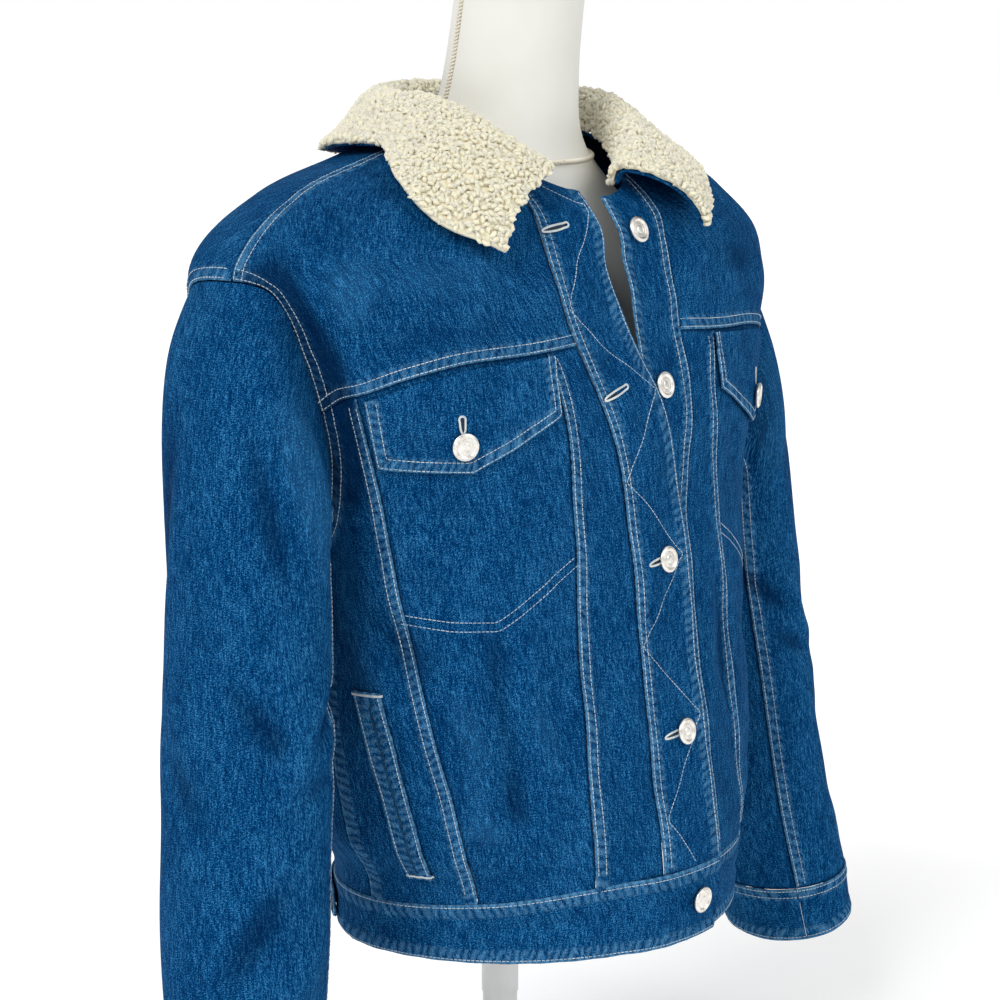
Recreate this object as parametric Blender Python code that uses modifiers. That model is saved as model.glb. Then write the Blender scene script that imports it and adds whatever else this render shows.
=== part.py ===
"""Denim jacket with a sherpa collar, standing on a limbless dress form.

Metres, +Z up, the floor at z = 0. The wearer faces -Y, so the wearer's right is -X.

The cloth of the body is one smooth surface with two parameters. The level runs from 0 at the hem
to 1 at the neckline, and the turn runs round the body: 0 at centre front, 1 at the side seam,
2 at centre back, and on round the other side to 4. Every panel is a patch of that surface between
seam curves, given a wall, and what lies on a panel is the same surface moved out.
"""

import math

import bmesh
import bpy
import numpy as np
from mathutils import Matrix

# Cloth and seams
DENIM = 0.0016
WAISTBAND_WALL = 0.0022
SHERPA = 0.0056
SEAM_GAP = 0.0006
SHOULDER_GAP = 0.0012
LAY_CLEARANCE = 0.0012
RIGHT_FRONT_LIFT = 0.0028

# Heights
HEM_HEIGHT = 0.215
NECK_TOP = 0.900

# Closure, measured from centre front
PLACKET_INNER = 0.034
OVERLAP = 0.026
UNDERLAP = 0.020
LAPEL_SHIFT_RIGHT = 0.048
LAPEL_SHIFT_LEFT = 0.020

# Hardware
BUTTON_RADIUS = 0.0095
BUTTON_HEIGHT = 0.0036
BUTTON_LEVELS = (0.912, 0.640, 0.438, 0.242)
WAIST_BUTTON_LEVEL = 0.050

# Dress form stand
POLE_RADIUS = 0.014
BASE_RADIUS = 0.150
BASE_HEIGHT = 0.020
TORSO_FOOT = 0.232

# Laid pieces, in turn and level
FLAP_TURNS = (0.398, 0.626, 0.806)
FLAP_FOOT = (0.622, 0.573, 0.585)
FLAP_BUTTON = (0.640, 0.603)
WELT_LEVELS = (0.098, 0.332)
WELT_INNER_TURNS = (0.790, 0.850)
WELT_WIDTH = 0.068
TAB_TURNS = (1.20, 1.62)
TAB_LEVELS = (0.008, 0.056)
TAB_BUTTON = (1.245, 0.032)

WAIST_SEAM = ((0.0, 0.088), (0.2, 0.088), (0.35, 0.086), (0.65, 0.074), (1.0, 0.064), (2.0, 0.064))
FRONT_YOKE = ((0.0, 0.745), (0.25, 0.717), (0.45, 0.699), (0.62, 0.688), (0.82, 0.655), (0.90, 0.6325))
OUTER_V = ((0.05, 0.675), (0.18, 0.710), (0.28, 0.745), (0.38, 0.776), (0.50, 0.805), (0.67, 0.820))
INNER_V = ((0.05, 0.354), (0.20, 0.365), (0.38, 0.370), (0.50, 0.362), (0.60, 0.375), (0.72, 0.420))
BACK_V = ((0.05, 1.780), (0.40, 1.730), (0.70, 1.640))

# Columns: level, half_width, front, back, centre_y, z_front, z_side, z_back, square.
RINGS = np.array([
    (0.00, 0.164, 0.156, 0.112, -0.022, -0.012, -0.012, -0.010, 1.95),
    (0.08, 0.168, 0.161, 0.115, -0.022, 0.037, 0.037, 0.038, 1.95),
    (0.13, 0.186, 0.158, 0.126, -0.020, 0.074, 0.074, 0.075, 2.05),
    (0.25, 0.198, 0.150, 0.134, -0.016, 0.142, 0.140, 0.142, 2.15),
    (0.40, 0.204, 0.143, 0.136, -0.010, 0.235, 0.225, 0.235, 2.25),
    (0.52, 0.212, 0.137, 0.134, -0.006, 0.312, 0.297, 0.315, 2.35),
    (0.64, 0.238, 0.134, 0.130, 0.000, 0.380, 0.380, 0.390, 2.50),
    (0.76, 0.264, 0.130, 0.120, 0.009, 0.430, 0.462, 0.452, 2.60),
    (0.86, 0.205, 0.120, 0.104, 0.007, 0.468, 0.519, 0.502, 2.50),
    (0.93, 0.140, 0.108, 0.086, 0.002, 0.492, 0.541, 0.535, 2.30),
    (1.00, 0.084, 0.094, 0.070, 0.002, 0.512, 0.554, 0.560, 2.00),
])

# The armhole is an oval in turn and level, broad at the top and round at the underarm.
# Its angle is 0 at the shoulder and +90 at the front.
ARM_LOW, ARM_HIGH = 0.50, 0.765
ARM_FRONT, ARM_BACK = 0.095, 0.18
ARM_TOP_SQUARE = 3.2
FRONT_YOKE_ANGLE = 90
BACK_YOKE_ANGLE = -75

# Columns: run, centre_x, centre_y, centre_z, half_across, half_deep, tilt.
SLEEVES = np.array([
    (0.000, 0.239, 0.006, 0.380, 0.087, 0.046, 18.0),
    (0.100, 0.258, -0.001, 0.350, 0.070, 0.054, 36.0),
    (0.220, 0.269, -0.006, 0.300, 0.051, 0.060, 62.0),
    (0.380, 0.274, -0.011, 0.220, 0.051, 0.061, 82.0),
    (0.600, 0.287, -0.020, 0.115, 0.050, 0.062, 86.0),
    (0.800, 0.302, -0.031, 0.008, 0.049, 0.060, 86.0),
    (0.925, 0.313, -0.043, -0.062, 0.047, 0.058, 78.0),
    (1.000, 0.319, -0.050, -0.103, 0.045, 0.056, 72.0),
])
SLEEVE_EASE_RUN = 0.30
SLEEVE_START_TOP, SLEEVE_START_UNDER = 0.005, 0.028
CUFF_RUN = 0.925
SLEEVE_SEAM_FRONT = 135
SLEEVE_SEAM_BACK = -105

# Where the collar's edge lies on the body for each place along the neckline.
# Columns: along, edge_turn, edge_level, edge_height, stand.
COLLAR_RIGHT = np.array([
    (0.36, 0.548, 0.818, 0.009, 0.004),
    (0.60, 0.668, 0.834, 0.009, 0.010),
    (0.80, 0.795, 0.872, 0.008, 0.017),
    (1.00, 0.960, 0.918, 0.008, 0.022),
    (1.50, 1.500, 0.916, 0.008, 0.022),
    (2.00, 2.000, 0.900, 0.008, 0.022),
])
COLLAR_LEFT = np.array([
    (0.16, 0.345, 0.862, 0.020, 0.012),
    (0.35, 0.500, 0.893, 0.014, 0.017),
    (0.60, 0.660, 0.920, 0.010, 0.021),
    (1.00, 1.000, 0.948, 0.008, 0.022),
    (1.50, 1.500, 0.918, 0.008, 0.022),
    (2.00, 2.000, 0.900, 0.008, 0.022),
])
COLLAR_ROLL = 0.008

# Columns: z, half_width, front, back, centre_y.
FORM = np.array([
    (TORSO_FOOT, 0.128, 0.100, 0.088, -0.008),
    (0.300, 0.124, 0.096, 0.082, -0.008),
    (0.380, 0.124, 0.094, 0.082, -0.004),
    (0.460, 0.138, 0.106, 0.092, -0.002),
    (0.530, 0.148, 0.114, 0.098, 0.000),
    (0.600, 0.158, 0.104, 0.098, 0.004),
    (0.650, 0.168, 0.090, 0.088, 0.006),
    (0.690, 0.158, 0.076, 0.076, 0.006),
    (0.720, 0.126, 0.068, 0.068, 0.006),
    (0.745, 0.090, 0.062, 0.060, 0.004),
    (0.765, 0.066, 0.056, 0.054, 0.000),
    (0.790, 0.052, 0.052, 0.050, -0.006),
    (0.830, 0.047, 0.049, 0.047, -0.012),
    (0.870, 0.046, 0.048, 0.046, -0.018),
    (NECK_TOP - 0.008, 0.047, 0.049, 0.047, -0.022),
])


def smooth_rows(table, at):
    """Rows of the table read between their stations by a monotone cubic, with no overshoot."""
    station, values = table[:, 0], table[:, 1:]
    step = np.diff(station)[:, None]
    slope = np.diff(values, axis=0) / step
    tangent = np.zeros_like(values)
    same_way = slope[1:] * slope[:-1] > 0
    total = np.where(same_way, slope[1:] + slope[:-1], 1.0)
    tangent[1:-1] = np.where(same_way, 2 * slope[1:] * slope[:-1] / total, 0.0)
    tangent[0], tangent[-1] = slope[0], slope[-1]
    at = np.clip(at, station[0], station[-1])
    row = np.clip(np.searchsorted(station, at, side="right") - 1, 0, len(station) - 2)
    width = step[row]
    s = (at - station[row])[..., None] / width
    rise = s * s * (3 - 2 * s)
    leave = s * (1 - s) ** 2 * width * tangent[row]
    arrive = s * s * (s - 1) * width * tangent[row + 1]
    return values[row] * (1 - rise) + values[row + 1] * rise + leave + arrive


def read(pairs, at):
    """A curve given by a short table of pairs, smoothed."""
    return smooth_rows(np.array(pairs), np.asarray(at, float))[..., 0]


def smooth_step(x):
    x = np.clip(x, 0.0, 1.0)
    return x * x * (3 - 2 * x)


def unit(vectors):
    return vectors / np.linalg.norm(vectors, axis=-1, keepdims=True)


def body(turn, level, side=1):
    """The cloth of the body: superellipse rings whose front, side and back have their own heights."""
    turn, level = np.broadcast_arrays(np.asarray(turn, float), np.asarray(level, float))
    columns = np.moveaxis(smooth_rows(RINGS, level), -1, 0)
    half_width, front, back, centre_y, z_front, z_side, z_back, square = columns
    sine, cosine = np.sin(turn * math.pi / 2), np.cos(turn * math.pi / 2)
    depth = np.where(cosine > 0, front, back)
    radius = (np.abs(sine / half_width) ** square + np.abs(cosine / depth) ** square) ** (-1 / square)
    z_end = np.where(cosine > 0, z_front, z_back)
    z = HEM_HEIGHT + z_side + (z_end - z_side) * cosine**2
    return np.stack([side * radius * sine, centre_y - radius * cosine, z], -1)


def body_normal(turn, level, side=1):
    reach = 1e-4
    level = np.clip(level, reach, 1 - reach)
    around = body(turn + reach, level, side) - body(turn - reach, level, side)
    upward = body(turn, level + reach, side) - body(turn, level - reach, side)
    return unit(np.cross(around, upward)) * side


def body_out(turn, level, side, out):
    """A point of the body moved out along the normal."""
    out = np.broadcast_to(out, np.shape(turn))
    return body(turn, level, side) + body_normal(turn, level, side) * out[..., None]


def turn_at(across, level):
    """The turn at which the front of a ring is this far from the middle, from the ring's formula."""
    columns = np.moveaxis(smooth_rows(RINGS, np.asarray(level, float)), -1, 0)
    half_width, front, square = columns[0], columns[1], columns[-1]
    ahead = front * (1 - np.abs(across / half_width) ** square) ** (1 / square)
    return np.arctan2(across, ahead) / (math.pi / 2)


def lapel_shift(level, side):
    """How far each front has swung open from centre front, above the fastened buttons."""
    if side < 0:
        return LAPEL_SHIFT_RIGHT * smooth_step((level - 0.49) / 0.36)
    return LAPEL_SHIFT_LEFT * smooth_step((level - 0.45) / 0.20)


def placket_seam(level, side):
    return turn_at(PLACKET_INNER + lapel_shift(level, side), level)


def placket_edge(level, side):
    reach = OVERLAP if side < 0 else UNDERLAP
    return turn_at(lapel_shift(level, side) - reach, level)


def oval(angle, top_square=ARM_TOP_SQUARE):
    """Sine and cosine of a point of an oval that is squarer at its top than at its foot."""
    square = np.where(np.cos(angle) > 0, top_square, 2.0)
    corner = (np.abs(np.sin(angle)) ** square + np.abs(np.cos(angle)) ** square) ** (-1 / square)
    return corner * np.sin(angle), corner * np.cos(angle)


def armhole(degrees):
    """Turn and level of the armhole at this angle."""
    sine, cosine = oval(np.radians(degrees))
    middle, half = (ARM_LOW + ARM_HIGH) / 2, (ARM_HIGH - ARM_LOW) / 2
    return 1 - np.where(sine > 0, ARM_FRONT, ARM_BACK) * sine, middle + half * cosine


def tilted_oval(row, sine, cosine):
    """Points of a sleeve section: its centre, half sizes and the tilt of its top away from upright."""
    centre_x, centre_y, centre_z, across, deep, tilt = row
    tilt = np.radians(tilt)
    out, up = across * cosine * np.sin(tilt), across * cosine * np.cos(tilt)
    return np.stack([centre_x + out, centre_y - deep * sine, HEM_HEIGHT + centre_z + up], -1)


def sleeve(degrees, run, side):
    """The sleeve: ovals along its run that start on the armhole and turn from upright to level."""
    degrees, run = np.broadcast_arrays(np.asarray(degrees, float), np.asarray(run, float))
    angle = np.radians(degrees)
    ease = 1 - smooth_step(run / SLEEVE_EASE_RUN)
    sections = tilted_oval(
        np.moveaxis(smooth_rows(SLEEVES, run), -1, 0), *oval(angle, 2 + (ARM_TOP_SQUARE - 2) * ease)
    )
    first = tilted_oval(SLEEVES[0, 1:], *oval(angle))
    return (sections + ease[..., None] * (body(*armhole(degrees)) - first)) * (side, 1, 1)


# Patches between seam curves


def chord_share(curve):
    """How far along its length each point of a curve is, from 0 to 1."""
    length = np.concatenate([[0], np.cumsum(np.linalg.norm(np.diff(curve, axis=0), axis=1))])
    return length / length[-1]


def patch(bottom, top, left, right):
    """Turn and level of a grid whose four edges are these curves, blended as a Coons patch."""
    p = ((chord_share(bottom) + chord_share(top)) / 2)[None, :, None]
    q = ((chord_share(left) + chord_share(right)) / 2)[:, None, None]
    rails = (1 - q) * bottom[None] + q * top[None]
    posts = (1 - p) * left[:, None] + p * right[:, None]
    low = (1 - p) * bottom[0] + p * bottom[-1]
    high = (1 - p) * top[0] + p * top[-1]
    grid = rails + posts - (1 - q) * low - q * high
    return grid[..., 0], grid[..., 1]


def open_seams(points, left_gap=SEAM_GAP, right_gap=SEAM_GAP):
    """Draws the four edges of a grid in by half a seam's gap."""
    points = points.copy()
    points[0] += unit(points[1] - points[0]) * SEAM_GAP / 2
    points[-1] += unit(points[-2] - points[-1]) * SEAM_GAP / 2
    points[:, 0] += unit(points[:, 1] - points[:, 0]) * left_gap / 2
    points[:, -1] += unit(points[:, -2] - points[:, -1]) * right_gap / 2
    return points


def curve(turns, levels):
    return np.stack(np.broadcast_arrays(np.asarray(turns, float), np.asarray(levels, float)), -1)


# Scene helpers


def clear_scene():
    for item in list(bpy.data.objects):
        bpy.data.objects.remove(item, do_unlink=True)


def material(name, colour, roughness, metallic=0.0):
    made = bpy.data.materials.new(name)
    made.use_nodes = True
    shader = made.node_tree.nodes["Principled BSDF"]
    shader.inputs["Base Color"].default_value = (*colour, 1.0)
    shader.inputs["Roughness"].default_value = roughness
    shader.inputs["Metallic"].default_value = metallic
    return made


def add_object(name, mesh, finish, parent=None):
    made = bpy.data.objects.new(name, mesh)
    if not mesh.materials:
        mesh.materials.append(finish)
    COLLECTION.objects.link(made)
    made.parent = parent
    return made


def grid_mesh(name, points, flip, wrap=False):
    """A mesh of quads on a grid of points, whose faces point out."""
    rows, columns = points.shape[:2]
    index = np.arange(rows * columns).reshape(rows, columns)
    across = np.roll(index, -1, axis=1) if wrap else index[:, 1:]
    near = index if wrap else index[:, :-1]
    quads = np.stack([near[:-1], across[:-1], across[1:], near[1:]], -1).reshape(-1, 4)
    if flip:
        quads = quads[:, ::-1]
    mesh = bpy.data.meshes.new(name)
    mesh.from_pydata(points.reshape(-1, 3).tolist(), [], quads.tolist())
    mesh.shade_smooth()
    return mesh


def shell(name, points, finish, wall, flip=False):
    """A grid of points with a wall grown inwards."""
    made = add_object(name, grid_mesh(name, points, flip), finish, JACKET)
    solid = made.modifiers.new("wall", "SOLIDIFY")
    solid.thickness = wall
    solid.offset = -1.0
    solid.use_quality_normals = True
    return made


def panel(name, edges, side, left_gap=SEAM_GAP, right_gap=SEAM_GAP):
    """A panel of the body between four seam curves: bottom, top, left and right."""
    points = open_seams(body(*patch(*edges), side), left_gap, right_gap)
    shell(name, points, DENIM_FINISH, DENIM, flip=side < 0)


# Seam curves of a front


LOWER_SHARES = np.array([0.0, 0.04, 0.085, 0.14, 0.23, 0.38, 0.56, 0.78, 1.0])
SHOULDER_STEPS = 4
INNER_COLUMNS, MIDDLE_COLUMNS = 3, 4
ARM_STEP = 15


def meet_yoke(seam):
    """The level at which a seam that climbs the front meets the yoke seam."""
    level = 0.68
    for _ in range(8):
        level = float(read(FRONT_YOKE, seam(level)))
    return level


def lower_levels(low, high):
    """Levels between waistband and yoke, closest where the cloth bulges over the waistband."""
    return low + (high - low) * LOWER_SHARES


def side_seam():
    return curve(1.0, lower_levels(float(read(WAIST_SEAM, 1.0)), ARM_LOW))


def front_seams(side):
    """The seam curves of one front, from centre front to the side seam."""
    seams = {}
    for name, turn_of in (
        ("placket", lambda level: placket_seam(level, side)),
        ("inner", lambda level: read(INNER_V, level)),
        ("outer", lambda level: read(OUTER_V, level)),
    ):
        low = float(read(WAIST_SEAM, turn_of(0.08)))
        levels = lower_levels(low, meet_yoke(turn_of))
        seams[name] = curve([float(turn_of(level)) for level in levels], levels)
    seams["side"] = side_seam()
    return seams


def along_waist(start, end, columns):
    turns = np.linspace(start, end, columns + 1)
    return curve(turns, read(WAIST_SEAM, turns))


def along_yoke(start, end, columns):
    turns = np.linspace(start, end, columns + 1)
    return curve(turns, read(FRONT_YOKE, turns))


def arm_curve(start, end):
    """The armhole between two angles, in its regular steps."""
    steps = round(abs(end - start) / ARM_STEP)
    return curve(*armhole(np.linspace(start, end, steps + 1)))


def shoulder_seam():
    """From the top of the armhole to the neckline."""
    return curve(1.0, np.linspace(ARM_HIGH, 1.0, SHOULDER_STEPS + 1))


def mirrored(edge):
    """The same curve on the other side of centre back."""
    return np.stack([4 - edge[:, 0], edge[:, 1]], -1)


def build_front(label, side):
    seams = front_seams(side)
    foot = {name: line[0, 0] for name, line in seams.items()}
    head = {name: line[-1, 0] for name, line in seams.items()}

    yoke_inner = along_yoke(head["placket"], head["inner"], INNER_COLUMNS)
    yoke_middle = along_yoke(head["inner"], head["outer"], MIDDLE_COLUMNS)
    yoke_side = along_yoke(head["outer"], armhole(FRONT_YOKE_ANGLE)[0], 1)
    arm_front = arm_curve(FRONT_YOKE_ANGLE, 180)
    side_top = np.concatenate([yoke_side[:-1], arm_front])

    panel(
        f"front_inner_{label}",
        (
            along_waist(foot["placket"], foot["inner"], INNER_COLUMNS),
            yoke_inner,
            seams["placket"],
            seams["inner"],
        ),
        side,
    )
    panel(
        f"front_pocket_panel_{label}",
        (
            along_waist(foot["inner"], foot["outer"], MIDDLE_COLUMNS),
            yoke_middle,
            seams["inner"],
            seams["outer"],
        ),
        side,
    )
    panel(
        f"front_side_{label}",
        (
            along_waist(foot["outer"], 1.0, len(side_top) - 1),
            side_top,
            seams["outer"],
            seams["side"],
        ),
        side,
    )

    outer_edge = np.concatenate([arm_curve(FRONT_YOKE_ANGLE, 0)[:-1], shoulder_seam()])
    upper_levels = np.linspace(seams["placket"][-1, 1], 1.0, len(outer_edge))
    upper_placket = curve(placket_seam(upper_levels, side), upper_levels)
    yoke_seam = np.concatenate([yoke_inner[:-1], yoke_middle[:-1], yoke_side])
    neckline = curve(np.linspace(upper_placket[-1, 0], 1.0, len(yoke_seam)), 1.0)
    edges = yoke_seam, neckline, upper_placket, outer_edge
    panel(f"front_yoke_{label}", edges, side, right_gap=SHOULDER_GAP)

    build_placket(label, side, np.concatenate([seams["placket"][:-1, 1], upper_levels]))


def build_placket(label, side, levels):
    """The buttoned strip: the right one rises over the left one just past its seam."""
    seam, edge = placket_seam(levels, side), placket_edge(levels, side)
    shares = np.array([0.0, 0.12, 0.28, 0.62, 1.0])
    turn = seam[:, None] + (edge - seam)[:, None] * shares
    level = np.repeat(levels[:, None], len(shares), axis=1)
    lift = RIGHT_FRONT_LIFT * smooth_step(shares / 0.28) if side < 0 else np.zeros(len(shares))
    points = body_out(turn, level, side, np.broadcast_to(lift, turn.shape))
    # From seam to edge the turn falls, so the grid faces the other way from a panel.
    shell(f"placket_{label}", open_seams(points), DENIM_FINISH, DENIM, flip=side > 0)


def build_back():
    waist = float(read(WAIST_SEAM, 1.5))
    arm_back = arm_curve(-180, BACK_YOKE_ANGLE)
    yoke_end = arm_back[-1]
    v_top = float(read(BACK_V, yoke_end[1]))
    yoke_side = curve(
        np.linspace(yoke_end[0], v_top, 4), yoke_end[1] + 0.012 * np.linspace(0, 1, 4) ** 2
    )
    v_high = yoke_side[-1, 1]
    v_levels = lower_levels(waist, v_high)
    v_turns = read(BACK_V, v_levels) + (yoke_side[-1, 0] - read(BACK_V, v_high)) * LOWER_SHARES
    back_v = curve(v_turns, v_levels)
    side_top = np.concatenate([arm_back[:-1], yoke_side])
    for label, side in SIDES:
        panel(
            f"back_side_{label}",
            (along_waist(1.0, back_v[0, 0], len(side_top) - 1), side_top, side_seam(), back_v),
            side,
        )
    centre_top = curve(np.linspace(back_v[-1, 0], 4 - back_v[-1, 0], 7), v_high)
    panel(
        "back_centre",
        (along_waist(back_v[0, 0], 4 - back_v[0, 0], 6), centre_top, back_v, mirrored(back_v)),
        -1,
    )
    yoke_seam = np.concatenate([yoke_side[:-1], centre_top, mirrored(yoke_side)[::-1][1:]])
    shoulder = np.concatenate([arm_curve(BACK_YOKE_ANGLE, 0)[:-1], shoulder_seam()])
    neckline = curve(np.linspace(1.0, 3.0, len(yoke_seam)), 1.0)
    edges = yoke_seam, neckline, shoulder, mirrored(shoulder)
    panel("back_yoke", edges, -1, SHOULDER_GAP, SHOULDER_GAP)


def build_waistband():
    """One band from the right front's end, round the back, to the left front's end under it."""
    right_end = float(turn_at(-OVERLAP, 0.05))
    left_end = 4.0 - float(turn_at(-UNDERLAP, 0.05))
    near_end = np.linspace(right_end, 0.30, 6)
    turns = np.concatenate([near_end, np.linspace(0.30, left_end, 34)[1:]])
    top = np.where(turns > 2, read(WAIST_SEAM, 4 - turns), read(WAIST_SEAM, np.abs(turns)))
    shares = np.linspace(0, 1, 3)[:, None]
    level = top * shares
    turn = np.broadcast_to(turns, level.shape)
    lift = (RIGHT_FRONT_LIFT + 0.0006) * smooth_step((0.30 - turn) / 0.16)
    points = open_seams(body_out(turn, level, -1, lift))
    shell("waistband", points, DENIM_FINISH, WAISTBAND_WALL, flip=True)


def turned_down(degrees):
    """0 at the shoulder and 1 at the underarm."""
    return (1 - np.cos(np.radians(degrees))) / 2


def build_sleeve(label, side):
    shares = np.array([0.0, 0.03, 0.08, 0.145, 0.213, 0.303, 0.437, 0.593, 0.75, 0.883, 1.0])[:, None]
    under_end = SLEEVE_SEAM_BACK + 360
    for name, start, end in (
        ("top_sleeve", SLEEVE_SEAM_BACK, SLEEVE_SEAM_FRONT),
        ("under_sleeve", SLEEVE_SEAM_FRONT, under_end),
    ):
        degrees = np.linspace(start, end, round((end - start) / ARM_STEP) + 1)
        first = SLEEVE_START_TOP + (SLEEVE_START_UNDER - SLEEVE_START_TOP) * turned_down(degrees)
        points = sleeve(degrees[None, :], first + (CUFF_RUN - first) * shares, side)
        # The sleeve runs down as the body's levels run up, so its grid faces the other way.
        shell(f"{name}_{label}", open_seams(points), DENIM_FINISH, DENIM, flip=side < 0)
    degrees = np.linspace(SLEEVE_SEAM_FRONT + 1.0, SLEEVE_SEAM_FRONT + 359.0, 25)
    runs = np.array([CUFF_RUN, (CUFF_RUN + 1) / 2, 1.0])
    points = sleeve(degrees[None, :], runs[:, None], side)
    shell(f"cuff_{label}", open_seams(points), DENIM_FINISH, WAISTBAND_WALL, flip=side < 0)


# Pieces that lie on a panel


def laid_piece(name, turn, level, side, finish, out, wall, flip=None):
    points = body_out(turn, level, side, out + wall)
    return shell(name, points, finish, wall, flip=side < 0 if flip is None else flip)


def build_flap(label, side):
    """A pointed pocket flap hung from the yoke seam."""
    start, point, end = FLAP_TURNS
    turns = np.array([start, 0.47, 0.55, point, 0.69, 0.75, end])
    top = read(FRONT_YOKE, turns) - 0.006
    low = np.interp(turns, FLAP_TURNS, FLAP_FOOT)
    shares = np.linspace(0, 1, 4)[:, None]
    level = low + (top - low) * shares
    laid_piece(
        f"pocket_flap_{label}", np.broadcast_to(turns, level.shape), level, side, DENIM_FINISH,
        LAY_CLEARANCE, DENIM,
    )


def build_welt(label, side):
    """The slanted welt of the hand pocket."""
    level = np.linspace(*WELT_LEVELS, 7)[:, None]
    turn = np.linspace(*WELT_INNER_TURNS, 7)[:, None] + np.linspace(0, WELT_WIDTH, 3)
    laid_piece(
        f"pocket_welt_{label}", turn, np.broadcast_to(level, turn.shape), side, DENIM_FINISH,
        LAY_CLEARANCE, DENIM,
    )


def build_waist_tab(label, side):
    """The adjuster tab on the waistband, buttoned behind the side seam."""
    turns = np.linspace(*TAB_TURNS, 7)
    narrowing = np.array([0.006, 0.0, 0.0, 0.0, 0.0, 0.0, 0.0])
    low, high = TAB_LEVELS[0] + narrowing, TAB_LEVELS[1] - narrowing
    shares = np.linspace(0, 1, 3)[:, None]
    level = low + (high - low) * shares
    laid_piece(
        f"waist_tab_{label}", np.broadcast_to(turns, level.shape), level, side, DENIM_FINISH,
        LAY_CLEARANCE, DENIM,
    )


def button_mesh():
    """Profile of a shank button's face, from its crown down the outer side to its back."""
    crown, rim = BUTTON_HEIGHT, BUTTON_RADIUS
    profile = (
        (0.0, crown * 0.86), (rim * 0.40, crown), (rim * 0.88, crown * 0.94), (rim, crown * 0.60),
        (rim * 0.85, 0.0), (0.0, 0.0),
    )
    mesh = bpy.data.meshes.new("button")
    points = [(x, 0.0, z) for x, z in profile]
    mesh.from_pydata(points, [(i, i + 1) for i in range(len(points) - 1)], [])
    mesh.materials.append(METAL_FINISH)
    return mesh


def place_button(name, mesh, turn, level, side, out):
    """A turned button whose back stands just off the cloth."""
    spot = np.array([float(turn)]), np.array([float(level)])
    normal = body_normal(*spot, side)[0]
    made = add_object(name, mesh, METAL_FINISH, JACKET)
    made.location = body(*spot, side)[0] + normal * (out + SEAM_GAP)
    upright = np.array([0.0, 0.0, 1.0])
    across = unit(np.cross(upright, normal))
    turned = np.eye(4)
    turned[:3, 0], turned[:3, 1], turned[:3, 2] = across, np.cross(normal, across), normal
    made.rotation_euler = Matrix(turned.tolist()).to_euler()
    screw = made.modifiers.new("turn", "SCREW")
    screw.angle = 2 * math.pi
    screw.steps = screw.render_steps = 16
    screw.use_merge_vertices = True
    screw.merge_threshold = 1e-5
    return made


def build_buttons():
    mesh = button_mesh()
    over, under = RIGHT_FRONT_LIFT, 0.0
    for number, level in enumerate(BUTTON_LEVELS, start=1):
        fastened = level < 0.5
        side, out = (-1, over) if fastened else (1, under)
        across = 0.0 if fastened else lapel_shift(level, 1)
        place_button(f"front_button_{number}", mesh, turn_at(across, level), level, side, out + 0.0004)
    place_button("waist_button", mesh, 0.0, WAIST_BUTTON_LEVEL, -1, over + 0.0012)
    lay = LAY_CLEARANCE + DENIM + 0.0004
    for label, side in SIDES:
        place_button(f"flap_button_{label}", mesh, *FLAP_BUTTON, side, lay)
        place_button(f"tab_button_{label}", mesh, *TAB_BUTTON, side, lay)


# Collar


def collar_row(table, along):
    """Neckline and collar edge for places along one half of the neckline."""
    return np.moveaxis(smooth_rows(table, along), -1, 0)


def bezier(a, b, c, d, s):
    return a * (1 - s) ** 3 + 3 * b * s * (1 - s) ** 2 + 3 * c * s * s * (1 - s) + d * s**3


def collar_half(table, along, side, steps):
    """The fold of the collar: up the stand, over the roll and down the fall to its edge."""
    edge_turn, edge_level, height, stand = collar_row(table, along)
    stand = stand[:, None]
    root = body(along, np.full_like(along, 1.0), side)
    up = np.array([0.0, 0.0, 1.0])
    out = unit(body_normal(along, np.full_like(along, 0.985), side) * (1, 1, 0.0))
    edge = body_out(edge_turn, edge_level, side, height)
    above = body_out(edge_turn, edge_level + 0.03, side, height + 0.003)
    start = root + up * 0.0050 - out * 0.001
    roll = root + up * (stand + 0.003) + out * COLLAR_ROLL
    fall = unit(edge - above)
    reach = np.linalg.norm(edge - roll, axis=-1, keepdims=True)
    stand_part = [
        bezier(start, start + up * stand * 0.77, roll - out * stand * 0.39, roll, s)
        for s in np.linspace(0, 1, steps[0] + 1)
    ]
    fall_part = [
        bezier(roll, roll + out * 0.013, edge - fall * reach * 0.45, edge, s)
        for s in np.linspace(0, 1, steps[1] + 1)[1:]
    ]
    return np.stack(stand_part + fall_part)


def collar_surface(columns, steps):
    """The whole collar from the right end, round the back, to the left end."""
    right = np.linspace(COLLAR_RIGHT[0, 0], 2.0, columns + 1)
    left = np.linspace(COLLAR_LEFT[0, 0], 2.0, columns + 1)[::-1][1:]
    return np.concatenate(
        [collar_half(COLLAR_RIGHT, right, -1, steps), collar_half(COLLAR_LEFT, left, 1, steps)], axis=1
    )


def grid_normals(points):
    down, across = np.gradient(points, axis=0), np.gradient(points, axis=1)
    return unit(np.cross(across, down))


def build_collar():
    points = collar_surface(11, (3, 5))
    normals = grid_normals(points)
    # The sherpa's side of the fold looks in at the neck and out over the fall.
    if (normals[0] * points[0] * (1, 1, 0)).sum() > 0:
        normals = -normals
    shell("under_collar", points, DENIM_FINISH, DENIM, flip=False)
    top = points + normals * (2 * SEAM_GAP + SHERPA)
    shell("sherpa_collar", top, SHERPA_FINISH, SHERPA, flip=False)


# Dress form


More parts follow.
